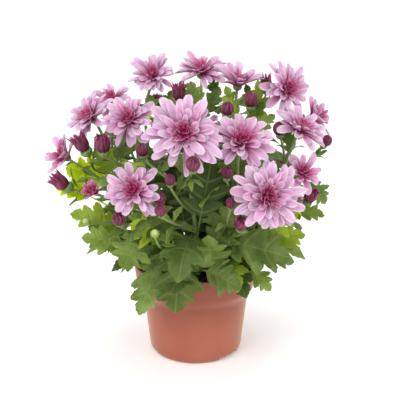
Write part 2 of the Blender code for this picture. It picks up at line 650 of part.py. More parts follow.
def solid(name, points, faces, finish, smooth=False):
    """An object whose mesh is the given closed shape, its faces turned outwards."""
    mesh = bpy.data.meshes.new(name)
    mesh.from_pydata([tuple(point) for point in points], [], faces)
    shape = bmesh.new()
    shape.from_mesh(mesh)
    bmesh.ops.recalc_face_normals(shape, faces=shape.faces)
    shape.to_mesh(mesh)
    shape.free()
    mesh.materials.append(finish)
    if smooth:
        mesh.shade_smooth()
        mesh.set_sharp_from_angle(angle=math.radians(35))
    body = bpy.data.objects.new(name, mesh)
    bpy.context.scene.collection.objects.link(body)
    return body


def combine(body, others, operation):
    """Join the others to the body, or cut them from it, and remove them."""
    group = bpy.data.collections.new(body.name + "_pieces")
    bpy.context.scene.collection.children.link(group)
    for other in others:
        group.objects.link(other)
    step = body.modifiers.new("combine", "BOOLEAN")
    step.operation = operation
    step.operand_type = "COLLECTION"
    step.collection = group
    step.solver = "EXACT"
    result = body.evaluated_get(bpy.context.evaluated_depsgraph_get())
    mesh = bpy.data.meshes.new_from_object(result)
    body.modifiers.clear()
    body.data = mesh
    for other in others:
        bpy.data.objects.remove(other)
    bpy.data.collections.remove(group)
    return body


def turned_solid(name, profile, sides, finish):
    """A solid of revolution: the profile of (radius, height) runs from axis to axis round the section."""
    points, faces, rings = [], [], []
    for radius, height in profile:
        if radius == 0:
            rings.append([len(points)] * sides)
            points.append((0, 0, height))
        else:
            rings.append([len(points) + k for k in range(sides)])
            for k in range(sides):
                angle = 2 * math.pi * k / sides
                points.append((radius * math.cos(angle), radius * math.sin(angle), height))
    for low, high in zip(rings, rings[1:]):
        for k in range(sides):
            corners = [low[k], low[(k + 1) % sides], high[(k + 1) % sides], high[k]]
            unique = list(dict.fromkeys(corners))
            if len(unique) > 2:
                faces.append(unique)
    return solid(name, points, faces, finish, smooth=True)


def cylinder(name, centre, radius, low, high, sides, finish):
    """A closed upright cylinder between two heights."""
    body = turned_solid(name, ((0, low), (radius, low), (radius, high), (0, high)), sides, finish)
    body.location = (centre[0], centre[1], 0)
    return body


def block(name, low, high, degrees, finish):
    """A closed box between two corners, turned about the vertical axis."""
    corners = [(x, y, z) for x in (low[0], high[0]) for y in (low[1], high[1]) for z in (low[2], high[2])]
    faces = [(0, 1, 3, 2), (4, 6, 7, 5), (0, 4, 5, 1), (2, 3, 7, 6), (0, 2, 6, 4), (1, 5, 7, 3)]
    body = solid(name, corners, faces, finish)
    body.rotation_euler.z = math.radians(degrees)
    return body


def inner_radius(height):
    """Inner radius of the pot's wall at a height."""
    levels = (FLOOR_CORNER_HEIGHT, SHELF_LOW, SHELF_HIGH, POT_HEIGHT)
    radii = (BODY_FOOT_RADIUS, BODY_TOP_RADIUS, COLLAR_FOOT_RADIUS, RIM_RADIUS - RIM_LIP)
    return float(np.interp(height, levels, radii)) - WALL


def make_pot():
    """The tapered pot: foot ring, central boss, floor, wall, stepped collar and rounded rim."""
    finish = material("terracotta_plastic", TERRACOTTA, 0.55)
    corner = inner_radius(FLOOR_CORNER_HEIGHT)
    profile = (
        (0, 0),
        (BOSS_RADIUS, 0),
        (BOSS_RADIUS + FOOT_DRAFT, FOOT_HEIGHT),
        (FOOT_RADIUS - FOOT_RING_WIDTH - FOOT_DRAFT, FOOT_HEIGHT),
        (FOOT_RADIUS - FOOT_RING_WIDTH, 0),
        (FOOT_RADIUS, 0),
        (FOOT_RADIUS + FOOT_ROUND[0], FOOT_ROUND[1]),
        (BODY_FOOT_RADIUS, BODY_FOOT_HEIGHT),
        (BODY_TOP_RADIUS, COLLAR_FOOT - COLLAR_SLANT),
        (COLLAR_FOOT_RADIUS, COLLAR_FOOT),
        (RIM_RADIUS - RIM_ROUND / 6, POT_HEIGHT - RIM_ROUND),
        (RIM_RADIUS - RIM_ROUND / 2, POT_HEIGHT - RIM_ROUND / 6),
        (RIM_RADIUS - WALL, POT_HEIGHT),
        (inner_radius(POT_HEIGHT - RIM_INNER_ROUND), POT_HEIGHT - RIM_INNER_ROUND),
        (inner_radius(SHELF_HIGH), SHELF_HIGH),
        (inner_radius(SHELF_LOW), SHELF_LOW),
        (corner, FLOOR_CORNER_HEIGHT),
        (corner - FLOOR_CORNER_RADIUS, FLOOR_TOP),
        (0, FLOOR_TOP),
    )
    pot = turned_solid("pot", profile, POT_SIDES, finish)
    cutters = []
    for number, angle in enumerate(NOTCH_ANGLES):
        low = (FOOT_RADIUS - FOOT_RING_WIDTH - NOTCH_PAST_RING, -NOTCH_WIDTH / 2, -CUT_PAST)
        high = (BODY_FOOT_RADIUS + CUT_PAST, NOTCH_WIDTH / 2, FOOT_HEIGHT)
        cutters.append(block(f"notch_{number}", low, high, angle - 90, finish))
    for number in range(DRAIN_COUNT):
        angle = 2 * math.pi * (number + 0.5) / DRAIN_COUNT
        centre = (DRAIN_CIRCLE * math.cos(angle), DRAIN_CIRCLE * math.sin(angle))
        name, top = f"drain_{number}", FLOOR_TOP + CUT_PAST
        cutters.append(cylinder(name, centre, DRAIN_RADIUS, -CUT_PAST, top, DRAIN_SIDES, finish))
    combine(pot, cutters, "DIFFERENCE")
    return pot


def make_soil():
    """The soil: it fills the pot into the collar, with a lumpy dome and plain holes for the shoots."""
    finish = material("potting_soil", SOIL_BROWN, 0.95)
    draw = np.random.default_rng(SOIL_SEED)
    corner = inner_radius(FLOOR_CORNER_HEIGHT) - GAP
    profile = [
        (0, FLOOR_TOP + GAP),
        (corner - FLOOR_CORNER_RADIUS, FLOOR_TOP + GAP),
        (corner, FLOOR_CORNER_HEIGHT + 2 * GAP),
        (inner_radius(SHELF_LOW) - GAP, SHELF_LOW + GAP),
        (inner_radius(SHELF_HIGH) - GAP, SHELF_HIGH + 2 * GAP),
        (inner_radius(SOIL_EDGE) - GAP, SOIL_EDGE),
    ]
    for radius in SOIL_RINGS:
        profile.append((radius, SOIL_EDGE + SOIL_DOME * (1 - (radius / SOIL_RADIUS) ** 2)))
    soil = turned_solid("soil", profile, POT_SIDES, finish)
    for vertex in soil.data.vertices:
        radius = math.hypot(vertex.co.x, vertex.co.y)
        if vertex.co.z > SOIL_EDGE and radius > 0.001:
            vertex.co.z += draw.uniform(-SOIL_LUMP, SOIL_LUMP)
    low, high = SOIL_EDGE + SOIL_DOME - HOLE_DEPTH, SOIL_EDGE + SOIL_DOME + HOLE_DEPTH
    holes = [
        cylinder(f"hole_{name}", metres(foot), HOLE_RADIUS, low, high, HOLE_SIDES, finish)
        for name, foot in SHOOTS.items()
    ]
    combine(soil, holes, "DIFFERENCE")
    return soil


def tube(name, path, radii, sides, finish):
    """A closed tube: rings of the given radii carried along the path without twisting."""
    path = np.asarray(path, float)
    ways = unit(np.gradient(path, axis=0))
    across = unit(np.cross(ways[0], (0.3, 0.9, 0.1)))
    angles = 2 * math.pi * np.arange(sides) / sides
    points, faces = [], []
    for step, (middle, way, radius) in enumerate(zip(path, ways, radii)):
        across = unit(across - way * np.dot(across, way))
        up = np.cross(way, across)
        points.extend(middle + radius * (math.cos(a) * across + math.sin(a) * up) for a in angles)
        if step:
            low, high = (step - 1) * sides, step * sides
            for k in range(sides):
                after = (k + 1) % sides
                faces.append((low + k, low + after, high + after))
                faces.append((low + k, high + after, high + k))
    faces.append(tuple(range(sides)))
    faces.append(tuple(range(len(points) - sides, len(points))))
    return solid(name, points, faces, finish)


def stalk(name, route, head, radius, top_radius, sides, foot, finish):
    """A stalk along its route, ending in the green cup under its head, or in a small green bud."""
    axis = unit(head.facing)
    end, radii = route[-1], list(np.linspace(radius, top_radius, len(route)))
    cup, height = cup_radius(head), cup_height(head)
    path = list(route)
    if head.stage == "green":
        size = head.width * MM / 2
        for spread, rise in GREEN_BUD_LEVELS:
            path.append(end + axis * size * rise)
            radii.append(size * spread)
    else:
        for spread, rise in CUP_LEVELS:
            path.append(end + axis * height * rise)
            radii.append(cup * spread)
    if foot is not None:
        path.insert(0, foot)
        radii.insert(0, radius)
    return tube(name, path, radii, sides, finish)


def leaf_solid(name, root, blade, finish):
    """A leaf: a lens-section blade on the lobed outline, its thin stem sunk in the stalk."""
    points, faces, index = [], [], {}

    def place(key, point):
        """Add a named point."""
        index[key] = len(points)
        points.append(point)

    way = unit(blade.joint - root)
    side = unit(blade.side - way * np.dot(blade.side, way))
    up = np.cross(side, way)
    for corner, push in (("U", up), ("D", -up), ("L", -side), ("R", side)):
        place((corner, 0), root + push * PETIOLE_RADIUS)
    half = LEAF_THICKNESS / 2
    for step, share in enumerate(blade.shape.midrib, 1):
        across = blade.normal if step > 1 else unit(np.cross(blade.side, way + blade.heading))
        middle = blade.at(share, 0.0)
        place(("U", step), middle + across * half)
        place(("D", step), middle - across * half)
    for step, (share, across) in enumerate(blade.shape.outline[:-1], 1):
        place(("L", step), blade.at(share, -across))
        place(("R", step), blade.at(share, across))
    place("T", blade.at(1.0, 0.0))
    last = len(blade.shape.midrib)
    for level in ("U", "D"):
        for edge in ("L", "R"):
            for step in range(last):
                faces.append((index[level, step], index[edge, step], index[edge, step + 1]))
                faces.append((index[level, step], index[edge, step + 1], index[level, step + 1]))
            faces.append((index[level, last], index[edge, last], index[edge, last + 1]))
            faces.append((index[level, last], index[edge, last + 1], index["T"]))
    faces.append((index["U", 0], index["L", 0], index["D", 0]))
    faces.append((index["U", 0], index["D", 0], index["R", 0]))
    return solid(name, points, faces, finish)


def make_shoot(shoot, main, sides, leaves, finish):
    """One leafy shoot: the main stalk, its side stalks with their cups, and its leaves, as one solid."""
    numbers = [number for number, head in enumerate(HEADS) if head.shoot == shoot]
    first = numbers[0]
    foot = np.array((*metres(SHOOTS[shoot]), SOIL_EDGE + SOIL_DOME - HOLE_DEPTH + GAP))
    name = f"shoot_{shoot}"
    body = stalk(name, main, HEADS[first], SHOOT_RADIUS, SHOOT_TOP_RADIUS, SHOOT_SIDES, foot, finish)
    pieces = []
    for number in numbers[1:]:
        route, head = sides[number], HEADS[number]
        radii = SIDE_STALK_RADIUS, SIDE_STALK_TOP_RADIUS
        pieces.append(stalk(f"side_{number}", route, head, *radii, SIDE_STALK_SIDES, None, finish))
    for number, (owner, root, blade) in enumerate(leaves):
        if owner == shoot:
            pieces.append(leaf_solid(f"leaf_{number}", root, blade, finish))
    return combine(body, pieces, "UNION")


def petal(root, way, across, up, length, width, blunt):
    """A petal on a core's four corners: its middle hollowed, its edges raised, its tip blunt or pointed.

    The corners are lower left, lower right, upper right and upper left. Returns new points and the
    triangles, in which numbers 0 to 3 are the corners and larger ones are the new points.
    """
    middle = root + way * length * PETAL_WIDEST
    half, thick, lift = width / 2, PETAL_THICKNESS, width * PETAL_HOLLOW
    points = [
        middle - across * half + up * (lift + thick * PETAL_EDGE_LIFT),
        middle + across * half + up * (lift + thick * PETAL_EDGE_LIFT),
        middle + up * (thick * 0.5),
        middle - up * (thick * 0.5),
    ]
    end = root + way * length
    if blunt:
        points += [end + across * half * share + up * lift for share in (-PETAL_TIP, PETAL_TIP)]
        faces = [
            (3, 2, 6), (3, 6, 4), (2, 5, 6), (4, 6, 8), (6, 9, 8), (6, 5, 9),
            (0, 7, 1), (0, 4, 7), (1, 7, 5), (4, 8, 7), (7, 8, 9), (7, 9, 5),
            (0, 3, 4), (1, 5, 2),
        ]
    else:
        points.append(end + up * lift)
        faces = [
            (3, 2, 6), (3, 6, 4), (2, 5, 6), (4, 6, 8), (6, 5, 8),
            (0, 7, 1), (0, 4, 7), (1, 7, 5), (4, 8, 7), (7, 8, 5),
            (0, 3, 4), (1, 5, 2),
        ]
    return points, faces


def make_flower(name, head, turn, draw, finish):
    """A flower: a core with a petal on each of its patches, layer on layer, and short quills on top."""
    stage = STAGES[head.stage]
    across, up, axis = head_frame(head.facing, turn)
    base, core, count = seat(head), core_radius(head), stage.columns
    step = 2 * math.pi / count
    rise = CORE_RISE * core
    points, faces = [], []
    for ring in range(len(stage.layers) + 1):
        for k in range(count):
            angle = step * (k + 0.5 * ring)
            spread = core * CORE_BULGE[ring]
            outward = math.cos(angle) * across + math.sin(angle) * up
            points.append(base + outward * spread + axis * rise * ring)
    faces.append(tuple(range(count)))
    for layer, (tilt, share) in enumerate(stage.layers):
        for k in range(count):
            after = (k + 1) % count
            low, high = layer * count, (layer + 1) * count
            corners = (low + k, low + after, high + after, high + k)
            root = sum(points[c] for c in corners) / 4
            angle = step * (k + 0.75 + 0.5 * layer)
            scatter = draw.uniform(-PETAL_SCATTER, PETAL_SCATTER)
            steep = math.radians(min(tilt + head.cup + scatter, PETAL_STEEPEST))
            outward = math.cos(angle) * across + math.sin(angle) * up
            way = outward * math.cos(steep) + axis * math.sin(steep)
            above = axis * math.cos(steep) - outward * math.sin(steep)
            sideways = math.cos(angle) * up - math.sin(angle) * across
            length = reach(head) * share * draw.uniform(PETAL_SHORTEST, 1.0)
            ring = core + length * PETAL_WIDEST * max(math.cos(steep), 0.30)
            width = PETAL_FILL * step * ring
            if layer == 2:
                new, shape = [root + way * length], [(0, 1, 4), (1, 2, 4), (2, 3, 4), (3, 0, 4)]
            else:
                blunt = layer == 0 and count >= BLUNT_FROM
                new, shape = petal(root, way, sideways, above, length, width, blunt)
            start = len(points)
            points.extend(new)
            for face in shape:
                faces.append(tuple(corners[v] if v < 4 else start + v - 4 for v in face))
    top = len(stage.layers) * count
    peak = len(points)
    crown = rise * len(stage.layers)
    points.append(base + axis * (crown + core * CORE_PEAK))
    for k in range(count):
        after = (k + 1) % count
        if k % 2:
            faces.append((top + k, top + after, peak))
            continue
        angle = step * (k + 0.5 + 0.5 * len(stage.layers))
        outward = math.cos(angle) * across + math.sin(angle) * up
        quill = len(points)
        points.append(base + outward * core * QUILL_SPREAD + axis * (crown + core * QUILL_RISE))
        faces += [(top + k, top + after, quill), (top + after, peak, quill), (peak, top + k, quill)]
    return solid(name, points, faces, finish)


def make_bud(name, head, turn, finish):
    """A bud: a ribbed egg on a flat base, closed to a point or opening in a crown of petal tips."""
    across, up, axis = head_frame(head.facing, turn)
    base, half = seat(head), head.width * MM / 2
    count, opening = STAGES[head.stage].columns, head.stage == "opening"
    levels = BUD_LEVELS[:3] if opening else BUD_LEVELS
    points, faces = [], []

    def around(place, spread, height):
        """A point at a share of the turn, its distance from the axis and its height in half widths."""
        angle = 2 * math.pi * place / count
        outward = math.cos(angle) * across + math.sin(angle) * up
        return base + outward * half * spread + axis * half * height

    for ring, (spread, height) in enumerate(levels):
        points += [around(k + 0.5 * ring, spread, height) for k in range(count)]
    faces.append(tuple(range(count)))
    for ring in range(len(levels) - 1):
        low, high = ring * count, (ring + 1) * count
        for k in range(count):
            after = (k + 1) % count
            faces += [(low + k, low + after, high + k), (high + k, low + after, high + after)]
    peak, last = len(points), (len(levels) - 1) * count
    points.append(base + axis * half * (OPENING_PIT if opening else BUD_TOP))
    for k in range(count):
        after = (k + 1) % count
        if opening:
            tip = len(points)
            points.append(around(k + 0.5 * len(levels), *OPENING_TIP))
            faces += [(last + k, last + after, tip), (last + after, peak, tip), (peak, last + k, tip)]
        else:
            faces.append((last + k, last + after, peak))
    return solid(name, points, faces, finish)


def make_heads():
    """Every flower and every coloured bud, each a solid of its own."""
    pink = material("petals", PETAL_PINK, 0.6)
    burgundy = material("bud_petals", BUD_BURGUNDY, 0.6)
    counts = {}
    for number, head in enumerate(HEADS):
        if head.stage == "green":
            continue
        kind = "bud" if head.stage in ("bud", "opening") else "bloom"
        key = f"{kind}_{head.shoot}"
        counts[key] = counts.get(key, 0) + 1
        name, turn = f"{key}_{counts[key]}", number * GOLDEN_ANGLE
        if kind == "bud":
            make_bud(name, head, turn, burgundy)
        else:
            draw = np.random.default_rng(100 + number)
            make_flower(name, head, turn, draw, pink)


def main():
    """Clear the scene, then make the pot, the soil, the shoots and the heads."""
    for old in list(bpy.data.objects):
        bpy.data.objects.remove(old)
    make_pot()
    make_soil()
    mains, sides, leaves = lay_out()
    green = material("leaves_and_stalks", LEAF_GREEN, 0.6)
    for shoot in SHOOTS:
        make_shoot(shoot, mains[shoot], sides, leaves, green)
    make_heads()


main()
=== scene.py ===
"""Potted chrysanthemum: the dressed plant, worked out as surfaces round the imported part.

The frame is the part's: the origin is the middle of the pot's underside, +Z is up and the front
faces -Y. The same rules that place the part's stalks, leaves and heads place the fine ones here.
"""

import math
from collections import namedtuple

import bpy
import numpy as np
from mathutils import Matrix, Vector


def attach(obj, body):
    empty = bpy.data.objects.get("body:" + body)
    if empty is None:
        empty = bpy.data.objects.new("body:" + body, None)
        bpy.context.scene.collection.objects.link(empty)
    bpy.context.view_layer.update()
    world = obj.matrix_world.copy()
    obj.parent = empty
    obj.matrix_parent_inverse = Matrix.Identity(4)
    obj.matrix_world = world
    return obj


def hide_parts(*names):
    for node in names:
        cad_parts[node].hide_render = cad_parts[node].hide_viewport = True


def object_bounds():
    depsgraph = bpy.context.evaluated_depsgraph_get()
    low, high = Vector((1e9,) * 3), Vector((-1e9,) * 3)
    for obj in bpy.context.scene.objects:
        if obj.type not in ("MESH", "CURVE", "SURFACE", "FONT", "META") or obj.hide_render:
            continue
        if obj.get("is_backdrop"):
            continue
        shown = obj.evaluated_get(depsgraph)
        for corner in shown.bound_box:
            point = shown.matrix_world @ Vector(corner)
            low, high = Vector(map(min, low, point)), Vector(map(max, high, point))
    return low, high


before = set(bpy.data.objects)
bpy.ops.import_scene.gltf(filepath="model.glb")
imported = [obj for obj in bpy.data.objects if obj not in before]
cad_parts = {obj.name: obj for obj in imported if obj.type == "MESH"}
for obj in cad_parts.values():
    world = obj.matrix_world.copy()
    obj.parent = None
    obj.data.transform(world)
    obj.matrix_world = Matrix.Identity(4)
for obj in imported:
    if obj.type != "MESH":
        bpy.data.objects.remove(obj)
cad_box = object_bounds()

MM = 0.001
# The gap between pieces that touch.
GAP = 0.0003

# Pot
POT_HEIGHT = 0.0886
RIM_RADIUS = 0.0600
RIM_LIP = 0.0004
COLLAR_HEIGHT = 0.0220
COLLAR_FOOT = POT_HEIGHT - COLLAR_HEIGHT
COLLAR_SLANT = 0.0092
COLLAR_FOOT_RADIUS = 0.0572
BODY_TOP_RADIUS = 0.0512
BODY_FOOT_RADIUS = 0.0454
FOOT_RADIUS = 0.0416
BODY_FOOT_HEIGHT = 0.0046
WALL = 0.0015
# Heights between which the inner wall steps out behind the collar.
SHELF_LOW = COLLAR_FOOT - COLLAR_SLANT - 0.0003
SHELF_HIGH = COLLAR_FOOT + 0.0003
FLOOR_TOP = 0.0052
FLOOR_CORNER_RADIUS = 0.0020
FLOOR_CORNER_HEIGHT = 0.0070
FOOT_HEIGHT = 0.0034
FOOT_DRAFT = 0.0008
FOOT_ROUND = (0.0026, 0.0012)
FOOT_RING_WIDTH = 0.0052
BOSS_RADIUS = 0.0255
NOTCH_ANGLES = (47, 167, 287)
NOTCH_WIDTH = 0.0240
DRAIN_COUNT = 6
DRAIN_RADIUS = 0.0034
DRAIN_CIRCLE = 0.0310
DRILL_PAST = 0.002
# How far the curve at a corner of the pot's profile reaches, and at the two ends of the collar's slant.
CORNER_BEND = 0.0016
SLANT_BENDS = (0.0050, 0.0030)
# Half the angle in radians over which a notch's side rises, and the radius of a disc's closing face.
NOTCH_EDGE = 0.002
CLOSING_STEP = 0.004
POT_RING = 144
DRAIN_RING = 24

# Soil
SOIL_EDGE = 0.0740
SOIL_RADIUS = 0.0560
SOIL_DOME = 0.0030
SOIL_SEED = 12
SOIL_RING, SOIL_ROWS = 96, 26
# How far below its edge the soil's side ends and how far inside it the crumbs stop, and the radius of the
# last ring of its top.
SOIL_MARGIN, SOIL_LAST_RING = 0.002, 0.001
# The soil's lumps are waves: how many, how long, and how high they stand together.
LUMP_WAVES = 40
LUMP_LENGTH = (0.003, 0.016)
LUMP_HEIGHT = 0.0035
# Crumbs: how many, their size, the points on each of a crumb's belts, the belts' heights in degrees, and
# the share of pale grains.
CRUMBS = 420
CRUMB_SIZE = (0.0006, 0.0020)
CRUMB_RING = 6
CRUMB_BELTS = (-38, 8, 44)
PALE_GRAINS = 0.05
# From least to most: what a crumb has of its size, its stretch along each axis, how uneven its points are and
# how pale a pale grain is. A crumb's middle lies this share of its size above the soil.
CRUMB_PART, CRUMB_STRETCH, CRUMB_UNEVEN, GRAIN_TONE = (0.5, 1.0), (0.6, 1.4), (0.75, 1.15), (0.5, 0.9)
CRUMB_LIFT = 0.3
HOLE_DEPTH = 0.0220

# Stalks
SHOOT_RADIUS = 0.0022
SHOOT_TOP_RADIUS = 0.0013
SHOOT_STEPS = 7
SIDE_STALK_RADIUS = 0.0012
SIDE_STALK_TOP_RADIUS = 0.0009
SIDE_STALK_STEP = 0.032
# How a stalk's curve leaves its foot and arrives at its cup, as shares of the span between them.
START_PULL = 0.38
END_PULL = 0.36
END_PULL_MOST = 0.034
END_LIFT = 0.35
END_ALONG = 0.75
SHOOT_SPREAD = 0.9
SHOOT_UPRIGHT = 0.030
SIDE_SPREAD = 0.9
# Bends sideways and upwards, in millimetres, the smallest first: a stalk takes the first clear one.
BOWS = sorted(
    ((side, rise) for side in range(-24, 25, 4) for rise in (-16, -8, 0, 8)),
    key=lambda bow: bow[0] ** 2 + bow[1] ** 2,
)
ROOM_AT_STALK = 0.0012
FAR = 0.0080
BEAD_SPACING = 0.0025

# Leaves
PETIOLE_RADIUS = 0.0009
LEAF_SHAPE = 0.74
LEAF_FOLD = 14
LEAF_WAVE = 0.0014
LEAF_WAVES = 9.0
LEAF_ROOM = 0.0029
STEM_ROOM = 0.0019
STEM_ROOM_AT_POT = 0.0009
ROOT_LENGTH = 0.0070
STEM_BEAD_SPACING = 0.0030
LEAF_SEED = 5
GOLDEN_ANGLE = 137.5

# A leaf's half outline from its joint to its tip. The rough one, with which a leaf looks for room, has the
# share of the length and the share of the half width. The fine one, which is made, also has the lobe's
# count, which is whole in the gap between two lobes and half way at a lobe's tip.
Shape = namedtuple("Shape", "rough fine")
FRONT_SHAPE = Shape(
    rough=((0.0, 0.04), (0.20, 0.76), (0.32, 0.38), (0.52, 1.0), (0.62, 0.46), (0.80, 0.60), (1.0, 0.0)),
    fine=(
        (0.00, 0.05, 0.0), (0.03, 0.10, 0.05), (0.06, 0.26, 0.12), (0.11, 0.50, 0.20), (0.145, 0.66, 0.28),
        (0.165, 0.63, 0.34), (0.22, 0.84, 0.42), (0.285, 0.91, 0.5), (0.31, 0.83, 0.58), (0.305, 0.66, 0.68),
        (0.325, 0.57, 0.78), (0.305, 0.50, 0.90), (0.29, 0.45, 1.0), (0.33, 0.50, 1.10), (0.375, 0.64, 1.20),
        (0.405, 0.82, 1.28), (0.43, 0.78, 1.34), (0.485, 0.98, 1.42), (0.56, 1.08, 1.5), (0.60, 1.0, 1.56),
        (0.59, 0.82, 1.66), (0.625, 0.74, 1.74), (0.605, 0.61, 1.85), (0.585, 0.53, 1.93), (0.565, 0.48, 2.0),
        (0.60, 0.52, 2.10), (0.635, 0.60, 2.22), (0.66, 0.71, 2.30), (0.685, 0.67, 2.36), (0.735, 0.80, 2.44),
        (0.785, 0.80, 2.5), (0.805, 0.69, 2.58), (0.79, 0.53, 2.70), (0.80, 0.43, 2.80), (0.765, 0.33, 3.0),
        (0.795, 0.35, 3.08), (0.83, 0.43, 3.16), (0.865, 0.45, 3.20), (0.875, 0.34, 3.26), (0.92, 0.33, 3.32),
        (0.945, 0.27, 3.36), (0.945, 0.18, 3.40), (0.975, 0.12, 3.46), (1.0, 0.01, 3.5),
    ),
)
FILL_SHAPE = Shape(
    rough=((0.0, 0.04), (0.22, 0.80), (0.36, 0.42), (0.60, 1.0), (0.72, 0.46), (1.0, 0.0)),
    fine=(
        (0.00, 0.05, 0.0), (0.05, 0.16, 0.05), (0.09, 0.40, 0.14), (0.125, 0.62, 0.22), (0.155, 0.72, 0.28),
        (0.18, 0.68, 0.34), (0.24, 0.88, 0.42), (0.315, 0.94, 0.5), (0.345, 0.85, 0.58), (0.34, 0.68, 0.68),
        (0.355, 0.59, 0.76), (0.34, 0.51, 0.90), (0.325, 0.46, 1.0), (0.37, 0.51, 1.10), (0.43, 0.67, 1.20),
        (0.46, 0.84, 1.28), (0.485, 0.80, 1.34), (0.555, 1.01, 1.42), (0.645, 1.08, 1.5), (0.68, 0.97, 1.56),
        (0.67, 0.78, 1.66), (0.70, 0.70, 1.72), (0.69, 0.57, 1.86), (0.665, 0.46, 2.0), (0.71, 0.48, 2.08),
        (0.75, 0.56, 2.16), (0.785, 0.62, 2.2), (0.80, 0.50, 2.26), (0.855, 0.53, 2.32), (0.88, 0.48, 2.36),
        (0.885, 0.36, 2.40), (0.925, 0.32, 2.43), (0.945, 0.20, 2.46), (0.98, 0.12, 2.48), (1.0, 0.01, 2.5),
    ),
)
# A slip of a leaf on a side stalk: a narrow blade with one tooth on each side.
SLIP_SHAPE = Shape(
    rough=FILL_SHAPE.rough,
    fine=(
        (0.00, 0.10, 0.0), (0.15, 0.30, 0.1), (0.30, 0.62, 0.2), (0.42, 0.80, 0.35), (0.52, 1.0, 0.5),
        (0.58, 0.72, 0.6), (0.72, 0.60, 0.7), (0.85, 0.42, 0.8), (0.95, 0.20, 0.9), (1.0, 0.02, 1.0),
    ),
)

# Flower heads by stage: the rise above the disc and the relative reach of each layer of petals, and how
# deep below its middle a head sits on its cup, as a share of its width.
Stage = namedtuple("Stage", "layers depth")
STAGES = {
    "large": Stage(((5, 1.0), (30, 0.84), (54, 0.60)), 0.11),
    "open": Stage(((12, 1.0), (40, 0.78)), 0.13),
    "small": Stage(((18, 1.0), (46, 0.78)), 0.15),
    "half": Stage(((46, 1.0), (70, 0.80)), 0.30),
    "opening": Stage((), 0.55),
    "bud": Stage((), 0.55),
    "green": Stage((), 0.50),
}

PETAL_ROOM = 0.0015

# The core where petals root: its radius in millimetres from the head's width, and its form by the radius.
CORE_LEAST = 1.3
CORE_PER_WIDTH = 0.062

# The green cup under a head.
BUD_CUP = 0.34
CUP_STEEPNESS = 0.9
CUP_BRIM = 0.0006


# Shoots: where each stands in the soil, in millimetres.
SHOOTS = {
    "left": (-25, -3),
    "front_left": (-15, -20),
    "front": (2, -27),
    "front_right": (18, -18),
    "right": (26, 2),
    "mid_left": (-9, 2),
    "mid_right": (10, 4),
    "back": (1, 22),
    "back_left": (-19, 17),
    "back_right": (20, 19),
}

